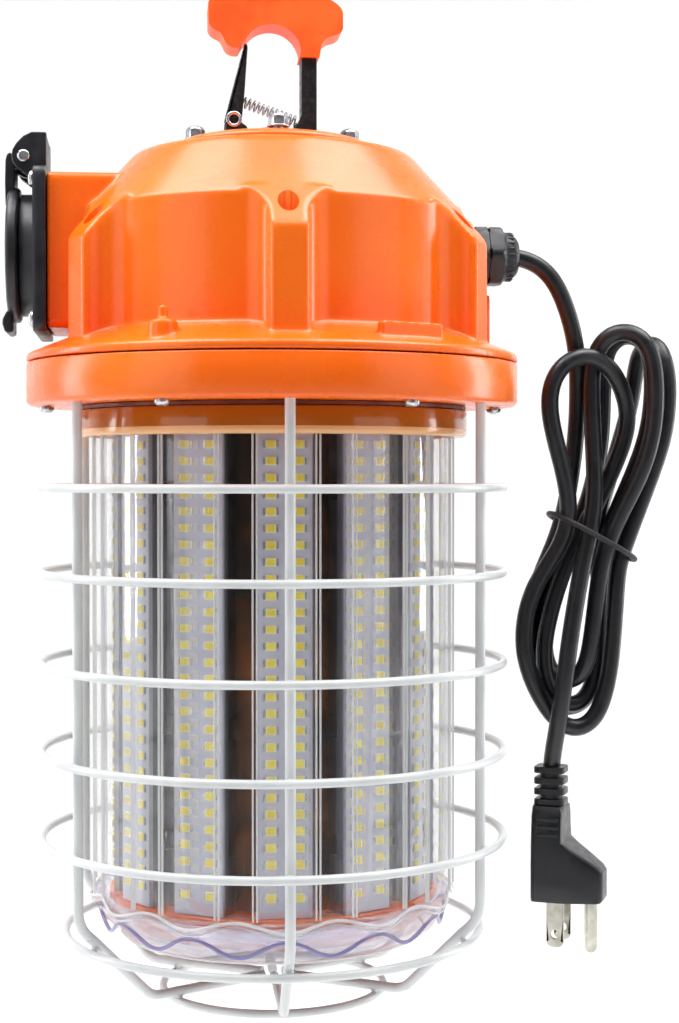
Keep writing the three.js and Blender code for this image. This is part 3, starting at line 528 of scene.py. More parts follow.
def blade(side):
    """The outline and a ring round the hole are bridged, so the hole goes right through."""
    bm = bmesh.new()
    hole_z = BLADE["bottom"] + BLADE["hole_up"]
    hole = BLADE["hole"]
    hole_outline = [(hole * math.cos(a), hole_z + hole * math.sin(a)) for a in full_turn(20)]
    faces = []
    for depth in (-BLADE["thick"] / 2, BLADE["thick"] / 2):
        y = side * BLADE["apart"] / 2 + depth
        rings = [[bm.verts.new(plug_place(BLADE["centre"] + x, y, z) * MM) for x, z in outline]
                 for outline in (blade_outline(), hole_outline)]
        edges = [bm.edges.new((ring[i], ring[(i + 1) % len(ring)])) for ring in rings for i in range(len(ring))]
        bmesh.ops.triangle_fill(bm, use_beauty=True, use_dissolve=False, edges=edges)
        faces.append(rings)
    for front, behind in zip(*faces):
        for i in range(len(front)):
            j = (i + 1) % len(front)
            bm.faces.new((front[i], front[j], behind[j], behind[i]))
    return bm


for number, side in ((1, -1), (2, 1)):
    piece = soften(mesh_piece(f"plug_flat_blade_{number}", blade(side), nickel), 0.25, 2)
    belongs(piece, "lamp", "nickel", f"plug_blade_{number}")


def pin_ring(z, radius):
    x = BLADE["centre"] + PIN_FROM_BLADES
    return [plug_place(x + radius * math.cos(a), radius * math.sin(a), z) for a in full_turn(28)]


bm = bmesh.new()
loft(bm, [pin_ring(z, r) for z, r in ((-314.4, 2.4), (-331.6, 2.4), (-333.1, 1.9), (-333.9, 1.1))])
earth = soften(mesh_piece("plug_earth_pin", bm, nickel), 0.2, 2)
belongs(earth, "lamp", "nickel", "plug_ground_pin")
bpy.context.view_layer.update()
print("plug hangs on the lead")

# %% [markdown]
# ## Powder-coated die-cast aluminium
# The housing is cast, then sprayed with orange powder and baked. The coat melts into a thick
# gloss with a very fine orange-peel ripple, about 2 mm from crest to crest, over a low waviness
# of the casting itself. A plain glossy colour would look like new plastic, so two noises ripple
# the surface, and broad ones shift the colour and gloss a little.

# %% Orange powder coat
orange_coat, shader = new_material("die_cast_aluminium_orange_powder_coat", "#FF7010", 0.28)
shader.inputs["Coat Weight"].default_value = 0.2
shader.inputs["Specular IOR Level"].default_value = 0.4
shader.inputs["Coat Roughness"].default_value = 0.12
where = ripple(orange_coat, shader, [(26, 0.25), (1.8, 0.01)])
mottle(orange_coat, shader, where, 60, linear("#FA6808"), linear("#FF7610"))
mottle(orange_coat, shader, where, 9, 0.25, 0.33, "Roughness")
print(orange_coat.name, "has", len(orange_coat.node_tree.nodes), "nodes")

# %% [markdown]
# ## The upper housing
# One casting: a cone that slopes down from the cap, an upright wall, a brim and a flange. Lugs
# with a deep screw hole stand on the wall, an outlet box is on one side and a gland boss on the
# other. A casting has soft fillets in every inner corner, which Boolean joints don't give. So
# the shapes are only laid into each other, a Voxel remesh melts them into one skin, and a Smooth
# modifier turns each step into a fillet. The screw holes are cut last, so that their rims stay
# crisp.

# %% Turning and boxes
def join_rings(bm, rings):
    """Joins each ring to the next and the last to the first, so the skin closes on itself."""
    for low, high in zip(rings, rings[1:] + rings[:1]):
        for i in range(len(low)):
            j = (i + 1) % len(low)
            bm.faces.new((low[i], low[j], high[j], high[i]))


def turned(bm, profile, segments=144):
    """Turns a closed (radius, z) profile in millimetres about the upright axis."""
    rings = []
    for radius, z in profile:
        circle = [(radius * math.cos(a) * MM, radius * math.sin(a) * MM, z * MM) for a in full_turn(segments)]
        rings.append([bm.verts.new(place) for place in circle])
    join_rings(bm, rings)


def facing(degrees):
    """Turns a shape drawn towards the front, -Y, to this angle. Positive goes towards +X."""
    return Matrix.Rotation(math.radians(degrees), 4, "Z")


def front_loft(bm, sections, degrees):
    """Lofts outlines drawn at the front, in (x, depth, z) millimetres, and turns them."""
    turn = facing(degrees)
    loft(bm, [[turn @ Vector((x, -depth, z)) for x, depth, z in section] for section in sections])


def settled(piece):
    """Gives a piece the mesh that its modifiers make, and takes the modifiers away."""
    seen = piece.evaluated_get(bpy.context.evaluated_depsgraph_get())
    mesh = bpy.data.meshes.new_from_object(seen)
    piece.modifiers.clear()
    piece.data = mesh
    return piece


def melted(name, bm, material, voxel, rounds):
    """Melts overlapping closed shapes into one skin with fillets."""
    piece = mesh_piece(name, bm, material)
    remesh = piece.modifiers.new("melt", "REMESH")
    remesh.mode = "VOXEL"
    remesh.voxel_size = voxel * MM
    remesh.use_smooth_shade = True
    smooth = piece.modifiers.new("fillets", "SMOOTH")
    smooth.factor = 0.5
    smooth.iterations = rounds
    settled(piece)
    piece.data.shade_smooth()
    return piece


SHOULDER = (49, -46.8)
WALL_TOP = (69, -68.2)
WALL_BOTTOM = -110.2
BRIM = (85, -116.5)
FLANGE_R = 87.5
SEAM = -120.2


def slope_at(radius):
    """The height of the upper slope, carried on outwards past the wall."""
    fall = (SHOULDER[1] - WALL_TOP[1]) / (WALL_TOP[0] - SHOULDER[0])
    return SHOULDER[1] - (radius - SHOULDER[0]) * fall


def brim_at(radius):
    fall = (WALL_BOTTOM - BRIM[1]) / (BRIM[0] - WALL_TOP[0])
    return WALL_BOTTOM - (radius - WALL_TOP[0]) * fall


print("slope meets the lugs at", round(slope_at(79.6), 1), "mm")

# %% The casting's shapes
bm = bmesh.new()
turned(bm, [(22, -45.5), (39.5, -45.5), (45.5, -46), SHOULDER, (51, -48.4), WALL_TOP, (69, WALL_BOTTOM),
            BRIM, (87.2, -117.4), (FLANGE_R, -118.4), (FLANGE_R, SEAM), (84.5, SEAM),
            (84.5, -119.5), (66, -113.2), (66, -69.2), (48, -49.8), (35.3, -49.5), (22, -49.5)])


def lug_half_width(depth):
    """A lug is 13 mm wide outside and flares where it leaves the wall and the slope."""
    flare = max(0.0, 1 - (depth - 68.5) / 6.5)
    return 6.5 + 5 * flare ** 2.2


def lug(bm, degrees):
    """Upright slices from the wall outwards, each a rounded rectangle under the slope."""
    slices = []
    for depth in (66.6, 68.8, 69.8, 71, 72.5, 74.5, 76.5, 78.2, 79.2, 79.6):
        draw_in = max(0, depth - 78) * 0.55
        half = lug_half_width(depth) - draw_in
        high = slope_at(depth) - 0.15 - draw_in
        low = brim_at(max(depth, 69)) - 1.2
        corners = [(-half, low), (half, low), (half, high), (-half, high)]
        slices.append([(x, depth, z) for x, z in rounded_outline(corners, 1.6, 3)])
    front_loft(bm, slices, degrees)


LUGS = [0, 60, 120, 180, 240, 300]
for degrees in LUGS:
    lug(bm, degrees)
print("lugs:", len(LUGS))

# %% Outlet box, gland boss, and the small bosses on the brim
def box_shape(bm, low, high, degrees=0, radius=2.0):
    """A rounded box between two corners (x, depth, z) of a piece drawn at the front."""
    corners = [(low[0], low[2]), (high[0], low[2]), (high[0], high[2]), (low[0], high[2])]
    shape = rounded_outline(corners, radius, 3)
    front_loft(bm, [[(x, depth, z) for x, z in shape] for depth in (low[1], high[1])], degrees)


def chamfered(radius, low, high):
    """The levels of a round boss whose upper rim is chamfered."""
    return [(radius, low), (radius, high - 0.8), (radius - 0.5, high)]


def upright_post(bm, levels, degrees, depth, count=32):
    """A round shape along Z, from (radius, z) levels, this far out from the axis."""
    centre = facing(degrees) @ Vector((0, -depth, 0))
    rings = [[(r * math.cos(a), r * math.sin(a), z) for a in full_turn(count)] for r, z in levels]
    loft(bm, [[centre + Vector(place) for place in ring] for ring in rings])


def side_post(bm, levels, z, y=0, count=48):
    """A round shape along X, from (x, radius) levels."""
    turns = full_turn(count)
    loft(bm, [[Vector((x, y + r * math.cos(a), z + r * math.sin(a))) for a in turns] for x, r in levels])


box_shape(bm, (-24, 52, -109.2), (24, 79.2, -55.7), degrees=-90, radius=3)
side_post(bm, [(66.5, 14.6), (68.6, 14), (70.5, 13), (71.4, 12.8), (72, 12)], -80.6)
upright_post(bm, chamfered(4.85, brim_at(80) - 2, -110.2), -30, 80)
upright_post(bm, chamfered(1.75, -112, -105.4), -30, 80)
box_shape(bm, (-12.8, 78.5, brim_at(80) - 2), (12.8, 81.5, -110.2), degrees=30, radius=1)
box_shape(bm, (-1.45, 76, brim_at(79) - 2), (1.45, 79, -94.5), degrees=90, radius=0.8)
print("boxes and bosses laid in")

# %% The melt and the screw holes
housing = melted("upper_housing_casting", bm, orange_coat, 0.75, 7)


def cut_with(piece, bm, name):
    """Cuts closed shapes out of a piece with an exact Boolean and applies it."""
    cutter = mesh_piece(name, bm, orange_coat)
    boolean = piece.modifiers.new("cut", "BOOLEAN")
    boolean.operation = "DIFFERENCE"
    boolean.solver = "EXACT"
    boolean.object = cutter
    bpy.context.view_layer.update()
    settled(piece)
    bpy.data.objects.remove(cutter)
    return piece


bm = bmesh.new()
for degrees in LUGS:
    upright_post(bm, [(3.5, -100), (3.5, -66)], degrees, 72.4)
cut_with(housing, bm, "screw_holes")
housing.data.shade_smooth()
housing.data.set_sharp_from_angle(angle=math.radians(42))
belongs(housing, "lamp", "orange_paint", "upper_housing")
print("housing:", len(housing.data.polygons), "faces")

# %% [markdown]
# ## The lower ring
# A second casting closes the housing from below. Its outer wall meets the upper flange in a thin
# dark seam, a flat underside takes the rods and screws, and a spigot reaches down into the lens
# collar. All of it is one profile turned round the axis.

# %% Lower ring
bm = bmesh.new()
turned(bm, [(61.5, -143.4), (64.7, -143.4), (64.7, -135.4), (86.1, -135.4), (87, -134.9),
            (FLANGE_R, -134), (FLANGE_R, -121.2), (87.1, -120.6), (84.5, -120.6), (84.5, -124.2),
            (69, -124.2), (69, -131.4), (61.5, -131.4)])
lower_ring = soften(mesh_piece("lower_ring_casting", bm, orange_coat, crisp=50), 0.35, 2)
belongs(lower_ring, "lamp", "orange_paint", "lower_ring")
print("lower ring turned")

# %% [markdown]
# ## The top cap and its screws
# A low turned cap closes the top. Four screws with domed hexagon heads and washer faces hold it.
# A hexagon cut by a dome gets its curved corner scallops from an intersection, which two lofted
# rings near the top imitate closely at this size. The screws are zinc-plated steel: bright, but
# a little cloudy, so their gloss drifts over a few millimetres.

# %% Top cap
bm = bmesh.new()
turned(bm, [(4.4, -40), (15, -40), (25, -40.5), (31, -41.2), (33.4, -41.9), (34.9, -42.8),
            (35.3, -43.6), (35.3, -45.2), (21.5, -45.2), (21.5, -48.4), (4.4, -48.4)])
cap = soften(mesh_piece("top_cap_casting", bm, orange_coat, crisp=50), 0.3, 2)
belongs(cap, "lamp", "orange_paint", "top_cap")
print("cap:", len(cap.data.polygons), "faces")

# %% Zinc plate
zinc, shader = new_material("bright_zinc_plated_steel", "#C9CACE", 0.24, 1.0)
where = ripple(zinc, shader, [(1.5, 0.02)])
mottle(zinc, shader, where, 3, linear("#B4B5BA"), linear("#D8D9DD"))
mottle(zinc, shader, where, 2, 0.18, 0.34, "Roughness")
print(zinc.name)


# %% Cap screws
def hexagon(radius):
    """A ring of points on a hexagon whose corners are slightly rounded."""
    ring = []
    flat = math.pi / 3
    for a in full_turn(36):
        within = (a % flat) - flat / 2
        reach = min(radius * math.cos(math.pi / 6) / math.cos(within), radius * 0.985)
        ring.append((reach * math.cos(a), reach * math.sin(a)))
    return ring


def cap_screw(number, degrees):
    centre = facing(degrees) @ Vector((0, -27.7, 0))
    rim = [(math.cos(a), math.sin(a)) for a in full_turn(36)]
    six = hexagon(3.55)
    levels = [(rim, 1.9, -51.5), (rim, 1.9, -40.35), (rim, 3.9, -40.3), (rim, 4.0, -40.05),
              (rim, 3.9, -39.75), (six, 1.0, -39.7), (six, 1.0, -37.1), (six, 0.93, -36.4),
              (rim, 2.6, -35.85), (rim, 1.7, -35.4), (rim, 0.8, -35.2)]
    bm = bmesh.new()
    loft(bm, [[centre + Vector((x * scale, y * scale, z)) for x, y in ring] for ring, scale, z in levels])
    screw = soften(mesh_piece(f"cap_screw_{number}", bm, zinc), 0.12, 2)
    belongs(screw, "lamp", "zinc", f"top_screw_{number}")


for number, degrees in enumerate((0, 90, 180, 270), 1):
    cap_screw(number, degrees)
print("four cap screws")

# %% Ring screws
def pan_screw(number, degrees):
    """A low domed head under the flange, with a cross recess."""
    circle = FLANGE_R - 7
    bm = bmesh.new()
    levels = [(1.6, -128), (1.6, -135.6), (2.6, -135.7), (2.7, -136.3), (2.5, -136.9), (2.0, -137.4),
              (1.2, -137.7), (0.3, -137.8)]
    upright_post(bm, levels, degrees, circle, 28)
    screw = mesh_piece(f"ring_screw_head_{number}", bm, zinc)
    centre = facing(degrees) @ Vector((0, -circle, 0))
    for half_x, half_y in ((1.5, 0.3), (0.3, 1.5)):
        corners = [(-half_x, -half_y), (half_x, -half_y), (half_x, half_y), (-half_x, half_y)]
        recess = bmesh.new()
        loft(recess, [[centre + Vector((x, y, z)) for x, y in corners] for z in (-139, -136.9)])
        cut_with(screw, recess, "recess")
    belongs(screw, "lamp", "zinc", f"ring_screw_{number}")


for number in range(1, 7):
    pan_screw(number, 30 + 60 * (number - 1))
print("six ring screws")

# %% [markdown]
# ## Moulded nylon and black steel
# The hook's grip is glass-filled orange nylon, moulded over the steel, with a soft spark-eroded
# texture and a satin face. Real spark-eroded grain is about 0.2 mm, and it is drawn at 0.9 mm so
# that it shows. The bracket and gate are steel under a satin black powder coat with a pebbled
# grain, and small lighter specks in its colour are painted glints of that grain.

# %% Grip nylon and black coat
orange_nylon, shader = new_material("moulded_orange_nylon", "#FF6A1E", 0.45)
where = ripple(orange_nylon, shader, [(14, 0.15), (0.9, 0.02)])
mottle(orange_nylon, shader, where, 14, linear("#FA5E12"), linear("#FF7226"))

black_steel, shader = new_material("steel_with_satin_black_powder_coat", "#17171B", 0.42)
where = ripple(black_steel, shader, [(4, 0.06), (0.8, 0.05)])
# The lighter specks in this colour are painted glints of the pebbled grain.
mottle(black_steel, shader, where, 1.6, linear("#111114"), linear("#303036"), ends=(0.5, 0.8))
mottle(black_steel, shader, where, 2, 0.32, 0.55, "Roughness")
print("grip and steel ready")

# %% [markdown]
# ## The grip
# Seen from the front the grip is a T-shaped handle over an arch that rests on a cable or a bar.
# Its outline is drawn once with arcs and curves, given its depth, and its edges are rounded with
# a wide bevel, since a hand closes round them.

# %% Grip
def curve_points(start, control, end, steps=8):
    """A bend from start to end, pulled towards control."""
    a, b, c = Vector(start), Vector(control), Vector(end)
    return [a.lerp(b, i / steps).lerp(b.lerp(c, i / steps), i / steps) for i in range(1, steps + 1)]


def slab(bm, outline, ends):
    """An outline in (x, z) millimetres, carried along Y between its two ends."""
    loft(bm, [[Vector((x, y, z)) for x, z in outline] for y in ends])


grip_outline = [Vector((-19.5, 9.7))]
grip_outline += curve_points((-19.5, 9.7), (-23.3, 9.7), (-23.3, 6.4))
grip_outline += [Vector((-23.2, 0.4))]
grip_outline += curve_points((-23.2, 0.4), (-23, -1.9), (-19.6, -3.1))
grip_outline += curve_points((-19.6, -3.1), (-18.6, -3.7), (-17.6, -6))
grip_outline += curve_points((-17.6, -6), (-16.5, -8.7), (-13.2, -8.7))
grip_outline += [Vector((-12.2, -8.5))]
grip_outline += curve_points((-12.2, -8.5), (-11.6, -6.8), (-10.1, -5.2), 4)
for step in range(25):
    angle = math.pi - 0.5 - (math.pi - 0.6) * step / 24
    grip_outline.append(Vector((-0.8 + 10.5 * math.cos(angle), -10.5 + 10.5 * math.sin(angle))))
grip_outline += [Vector((9.1, -11.3)), Vector((16.2, -11.3)), Vector((16.8, -7.6))]
grip_outline += curve_points((16.8, -7.6), (17.8, -4.4), (21, -3.6))
grip_outline += curve_points((21, -3.6), (24.6, -2.7), (24.6, -0.4))
grip_outline += [Vector((24.6, 4.6))]
grip_outline += curve_points((24.6, 4.6), (24.3, 6), (23.2, 7), 4)
grip_outline += curve_points((23.2, 7), (20.6, 9.4), (18.6, 9.5), 6)
grip_outline += [Vector((8, 9.9)), Vector((-8, 10))]
bm = bmesh.new()
slab(bm, grip_outline, (-7, 7))
grip = soften(mesh_piece("hook_grip_moulding", bm, orange_nylon), 1.5, 5, angle=50)
belongs(grip, "hook", "orange_plastic", "hook_grip")
print("grip outline:", len(grip_outline), "points")

# %% [markdown]
# ## The bracket, the gate and its pivot
# A flat leg rises from the base into the grip, with a sloping foot that stiffens the corner.
# Two ears carry the pivot of the gate, which is a folded channel that narrows upwards. A tubular
# rivet is the pivot: its rolled rim shows as a bright ring.

# %% Bracket
BASE = (-39.7, -37.6)
bm = bmesh.new()
base = rounded_outline([(-17.2, -7.7), (15.4, -7.7), (15.4, 7.7), (-17.2, 7.7)], 2.5)
loft(bm, [[Vector((x, y, z)) for x, y in base] for z in BASE])
bracket = soften(mesh_piece("hook_bracket_base", bm, black_steel), 0.4, 2)
belongs(bracket, "hook", "black_steel", "hook_bracket")
bm = bmesh.new()
slab(bm, [(5.2, -37.9), (15.4, -37.9), (15.4, -3), (9.9, -3), (9.9, -31.5), (8.4, -34.6)], (-5, 5))
belongs(soften(mesh_piece("hook_bracket_leg", bm, black_steel), 0.45), "hook", "black_steel")

PIVOT = (-14.3, -34.1)
for number, side in ((1, -1), (2, 1)):
    ear = [(-17.2, -37.9), (-9.0, -37.9), (-9.9, -36.2)]
    for i in range(17):
        a = -0.35 + (math.pi + 0.35) * i / 16
        ear.append((PIVOT[0] + 2.9 * math.cos(a), PIVOT[1] + 2.9 * math.sin(a)))
    bm = bmesh.new()
    slab(bm, ear, sorted((side * 5.5, side * 7.7)))
    belongs(soften(mesh_piece(f"hook_bracket_ear_{number}", bm, black_steel), 0.3, 2), "hook", "black_steel")
print("bracket: base, leg and two ears")

# %% Gate
gate_side = [(-17.2, -34.1), (-16.9, -35.4), (-16, -36.5), (-14.6, -37), (-13, -36.7), (-11.8, -35.6),
             (-11.4, -34.1), (-10.4, -24), (-9.3, -8.2), (-9.4, -7), (-9.9, -6.6), (-10.3, -7)]
bm = bmesh.new()
for side in (-1, 1):
    slab(bm, gate_side, sorted((side * 3.9, side * 5.2)))
slab(bm, [(-17.2, -33.4), (-10.3, -6.9), (-9.4, -7.6), (-15.8, -33.4)], (-5.2, 5.2))
gate = soften(mesh_piece("hook_gate_channel", bm, black_steel), 0.3, 2)
belongs(gate, "gate", "black_steel", "hook_gate")
# A thin strip of bright zinc along the gate's edge is a painted highlight: the line of light that the edge
# catches.
bm = bmesh.new()
slab(bm, [(-17.45, -33.2), (-10.5, -6.8), (-10.25, -6.8), (-17.15, -33.2)], (-4.4, 4.4))
belongs(soften(mesh_piece("hook_gate_painted_edge_highlight", bm, zinc), 0.1, 2), "gate", "black_steel")
print("gate with its painted edge highlight")

# %% Pivot rivet
def deep_post(bm, centre, levels, count=36):
    """A round shape along Y about (x, z), from (y, radius) levels."""
    turns = full_turn(count)
    loft(bm, [[Vector((centre[0] + r * math.cos(a), y, centre[1] + r * math.sin(a))) for a in turns]
              for y, r in levels])


bm = bmesh.new()
rolled_rim = [(7.2, 1.1), (8.6, 1.5), (9.1, 1.9), (9.3, 2.3), (9.1, 2.7), (8.6, 2.85), (8.1, 2.7),
              (8.0, 1.4)]
deep_post(bm, PIVOT, [(-y, r) for y, r in rolled_rim] + rolled_rim[::-1])
belongs(mesh_piece("gate_pivot_rivet", bm, zinc, crisp=60), "hook", "zinc", "gate_pin")
bm = bmesh.new()
deep_post(bm, PIVOT, [(-8.3, 1.35), (-7.6, 1.3), (7.6, 1.3), (8.3, 1.35)])
belongs(soften(mesh_piece("gate_pivot_core", bm, black_steel), 0.2, 2), "hook", "black_steel")
print("pivot rivet")

# %% [markdown]
# ## The gate's spring
# A compression spring of twelve coils pushes the gate shut. It spans the gate's joint, so
# it can't ride on one body. It is made as a wire mesh and rides on no body.

# %% Gate spring
SPRING_FROM, SPRING_TO = Vector((-10.6, 0, -26.4)), Vector((8.6, 0, -33.2))


def helix(start, end, radius, turns, per_turn=20):
    """A coil's centreline between two points that lie in the middle plane."""
    along = end - start
    side = Vector((0, 1, 0))
    up = along.cross(side).normalized()
    path = []
    for i in range(turns * per_turn + 1):
        a = 2 * math.pi * i / per_turn
        share = i / (turns * per_turn)
        path.append(start + along * share + (side * math.cos(a) + up * math.sin(a)) * radius)
    return path


spring_curve = wire_piece("gate_spring_wire", helix(SPRING_FROM, SPRING_TO, 1.8, 12), 0.7, zinc, sides=3)
bpy.context.view_layer.update()
spring_seen = spring_curve.evaluated_get(bpy.context.evaluated_depsgraph_get())
spring_mesh = bpy.data.meshes.new_from_object(spring_seen)
bpy.data.objects.remove(spring_curve)
spring = bpy.data.objects.new("gate_spring_coils", spring_mesh)
bpy.context.collection.objects.link(spring)
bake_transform(spring)
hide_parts("gate_spring")
print("spring:", len(spring_mesh.polygons), "faces")

# %% [markdown]
# ## Clear polycarbonate
# The cup is moulded clear polycarbonate, index 1.585. Walls that only refract would shut the
# studio light out of the boards behind them, so most of the light goes straight through and the
# rest refracts and reflects. Thick edges have a cold violet cast, and the collar looks amber,
# because the orange spigot behind it colours every path through it.

# %% Clear plastics
def clear_plastic(name, colour, roughness, alpha, waves, passes=1.0):
    """Clear plastic whose alpha below 1 lets part of the light go straight through."""
    material, shader = new_material(name, colour, roughness)
    shader.inputs["IOR"].default_value = 1.585
    shader.inputs["Transmission Weight"].default_value = passes
    shader.inputs["Alpha"].default_value = alpha
    where = ripple(material, shader, waves)
    mottle(material, shader, where, 30, roughness, roughness + 0.03, "Roughness")
    return material


clear_wall = clear_plastic("moulded_clear_polycarbonate", "#F6F7FC", 0.02, 0.2, [(18, 0.12)])
# The ridges and the thin edges round the base are whiter and less clear than the wall: painted highlight lines,
# where they catch and bend the light.
ridge_highlight_plastic = clear_plastic("clear_polycarbonate_painted_as_highlight_lines", "#F4F6F8", 0.12, 0.8, [(12, 0.1)], 0.35)
violet_base = clear_plastic("thick_clear_polycarbonate", "#B9B6DC", 0.05, 0.5, [(10, 0.15)])
violet_edge = clear_plastic("violet_edge_of_thick_polycarbonate", "#9C98CC", 0.1, 0.85, [(10, 0.1)], 0.3)
amber_collar = clear_plastic("clear_polycarbonate_over_orange_paint", "#CC7410", 0.08, 0.88,
                             [(12, 0.12)], 0.3)
# The lip's pale colour is a painted highlight along its rounded edge.
lip_highlight_plastic = clear_plastic("clear_polycarbonate_lip_painted_highlight", "#FFC688", 0.15, 0.95, [(8, 0.05)], 0.2)
print("six clear plastics")

# %% [markdown]
# ## The cup
# Twelve shallow bays run down the wall, one before each board. The wall is drawn as a grid: its
# radius depends on the height, and a cosine pulls it in and out twelve times round. The inside
# stays almost a plain cylinder. Both skins are joined, so light meets a real wall thickness.

# %% Cup wall
BAYS = 12


def fluted_shell(bm, levels, scallops=False, segments=360):
    """A closed skin from (radius, z, flute) levels, waved twelve times round."""
    rings = []
    for radius, z, flute in levels:
        ring = []
        for a in full_turn(segments):
            wave = 0.5 - abs(math.sin(BAYS * a / 2)) if scallops else math.cos(BAYS * a)
            r = radius + flute * wave
            ring.append(bm.verts.new((r * math.sin(a) * MM, -r * math.cos(a) * MM, z * MM)))
        rings.append(ring)
    join_rings(bm, rings)


outside = [(64.8, -145.9, 0.1), (64.8, -148, 0.8), (64.8, -225, 0.85), (64.8, -304, 0.9), (64.2, -307.5, 1.3)]
inside = [(61.2, -306, 0.5), (62.6, -303, 0.3), (62.6, -148, 0.1), (62.6, -145.9, 0)]
bm = bmesh.new()
fluted_shell(bm, outside + inside)
cup = belongs(mesh_piece("lens_cup_wall", bm, clear_wall), "lamp", "clear_plastic", "lens_cover")
print("cup wall:", len(cup.data.polygons), "faces")

# %% [markdown]
# ## Ridges, collar and base
# Each bay's edge is a pair of fine upright ridges, drawn as low lofted strips. The cup's mouth
# is a thick collar with a moulded lip whose pale colour is a painted highlight, and its base is a thick
# scalloped bowl. Two wavy edges run round the base: a clear step under the wall, and a thicker violet one below
# it.

# %% Ridges beside the boards
def wall_ridge(bm, degrees, radius, half, proud):
    """A low upright ridge on the wall."""
    shape = [(-half, radius - 0.2), (-half * 0.6, radius + proud * 0.8), (0, radius + proud),
             (half * 0.6, radius + proud * 0.8), (half, radius - 0.2)]
    turn = facing(degrees)
    loft(bm, [[turn @ Vector((x, -depth, z)) for x, depth in shape] for z in (-306, -146.2)])


bm = bmesh.new()
for board in range(BAYS):
    for offset in (-9.9, -8.7, 8.7, 9.9):
        wall_ridge(bm, 30 * board + offset, 64.6, 0.34, 0.5)
belongs(mesh_piece("lens_ridges", bm, ridge_highlight_plastic, crisp=60), "lamp", "clear_plastic")
print("ridges:", 4 * BAYS)

# %% Collar and base
bm = bmesh.new()
turned(bm, [(65.1, -137.3), (69.1, -137.3), (69.5, -137.8), (69.5, -143.8), (64.9, -143.8)], 180)
belongs(mesh_piece("lens_collar", bm, amber_collar, crisp=50), "lamp", "clear_plastic")
bm = bmesh.new()
turned(bm, [(64.9, -143.85), (69.5, -143.85), (69.55, -144.6), (69.4, -145.4), (69, -146),
            (68.2, -146.4), (64.9, -146.4)], 180)
belongs(mesh_piece("lens_collar_lip", bm, lip_highlight_plastic, crisp=60), "lamp", "clear_plastic")

under = [(64.2, -307.6, 1.3), (63.4, -311.5, 1.8), (61.0, -316.6, 2.0), (57.0, -320.8, 1.6),
         (53, -322.4, 0.8), (30, -322.6, 0.2), (0.5, -322.6, 0)]
over = [(0.5, -319.6, 0), (30, -319.6, 0.1), (51, -319, 0.5), (56, -314.2, 1.0), (59.2, -310.6, 1.0),
        (60.6, -307.6, 0.8)]
bm = bmesh.new()
fluted_shell(bm, under + over, scallops=True)
belongs(mesh_piece("lens_base_scallops", bm, violet_base), "lamp", "clear_plastic")
print("collar, lip and scalloped base")


# %% Edges of the base
def wavy_edge(name, radius, z, reach, dip, diameter, material):
    """A thick edge that waves once a bay, by reach in its radius and by dip in its height."""
    path = []
    for a in full_turn(360):
        wave = math.cos(BAYS * a)
        r = radius + reach * wave
        path.append((r * math.sin(a), -r * math.cos(a), z + dip * wave))
    edge = wire_piece(name, path, diameter, material, closed=True, sides=3)
    belongs(edge, "lamp", "clear_plastic")


# The step and foot edges share the ridges' material, whose whiteness is a painted highlight.
wavy_edge("lens_step_upper", 64.4, -308.2, 1.0, -1.5, 1.1, ridge_highlight_plastic)
wavy_edge("lens_step_lower", 63.8, -310.0, 1.1, -1.6, 0.8, ridge_highlight_plastic)
wavy_edge("lens_violet_edge", 61.2, -316.2, 0.9, 2.9, 1.4, violet_edge)
wavy_edge("lens_foot_edge", 54.2, -322.2, 0, 0, 0.9, ridge_highlight_plastic)
print("four edges round the base")

# %% [markdown]
# ## Boards, aluminium and LEDs
# The light source is a column of twelve aluminium-cored boards. Each is coated with white solder
# mask and carries two rows of 3.5 x 2.8 mm LED packages: a cream reflector frame round yellow
# phosphor gel. The boards sit on extruded aluminium channels, whose bare sides are seen between
# them.

# %% LED materials
board_mask, shader = new_material("white_solder_mask_on_aluminium", "#C6C7D3", 0.34)
where = ripple(board_mask, shader, [(2.5, 0.02)])
mottle(board_mask, shader, where, 16, linear("#BFC0CF"), linear("#CCCDD8"))
led_package, shader = new_material("cream_led_package", "#F8F3D8", 0.4)
where = ripple(led_package, shader, [(0.8, 0.02)])
mottle(led_package, shader, where, 8, linear("#F4EECB"), linear("#FBF8E6"))
phosphor, shader = new_material("yellow_phosphor_gel", "#F2E04A", 0.3)
where = ripple(phosphor, shader, [(1.0, 0.03)])
mottle(phosphor, shader, where, 5, linear("#EDD63C"), linear("#F7EA5E"))
solder, shader = new_material("tinned_solder_pad", "#C9C9CC", 0.22, 1.0)
where = ripple(solder, shader, [(0.6, 0.04)])
mottle(solder, shader, where, 3, linear("#A9A9AD"), linear("#CBCBCE"))
aluminium, shader = new_material("extruded_aluminium", "#8C8D92", 0.36, 1.0)
where = drawn_lines(aluminium, shader, 0.6, 0.03)
mottle(aluminium, shader, where, 18, linear("#77787E"), linear("#9A9BA0"))
# The inner tube's dark brown is painted shade for the shadowed inside of the column.
shade_brown_core, shader = new_material("painted_shade_dark_brown", "#6E4526", 0.38, 0.8)
where = ripple(shade_brown_core, shader, [(7, 0.05)])
mottle(shade_brown_core, shader, where, 26, linear("#3C2A20"), linear("#A0602E"), ends=(0.4, 0.7))
print("LED column materials ready")

# %% [markdown]
# ## Twelve boards and their LEDs
# Everything on one board is drawn for the front and turned round the axis. The twelve copies of
# a kind share one mesh, which keeps the scene light to edit.

# %% Boards
ROWS, LED_PITCH, FIRST_LED, COLUMNS = 28, 5.56, -149.7, (-4.675, 4.675)
LED_SPOTS = [(column, FIRST_LED - LED_PITCH * row) for row in range(ROWS) for column in COLUMNS]


def flat_box(bm, x, depth, z):
    """A box on the front side from (low, high) pairs. Depth is the distance from the axis."""
    corners = [(x[0], -depth[1]), (x[1], -depth[1]), (x[1], -depth[0]), (x[0], -depth[0])]
    loft(bm, [[Vector((px, py, pz)) for px, py in corners] for pz in z])


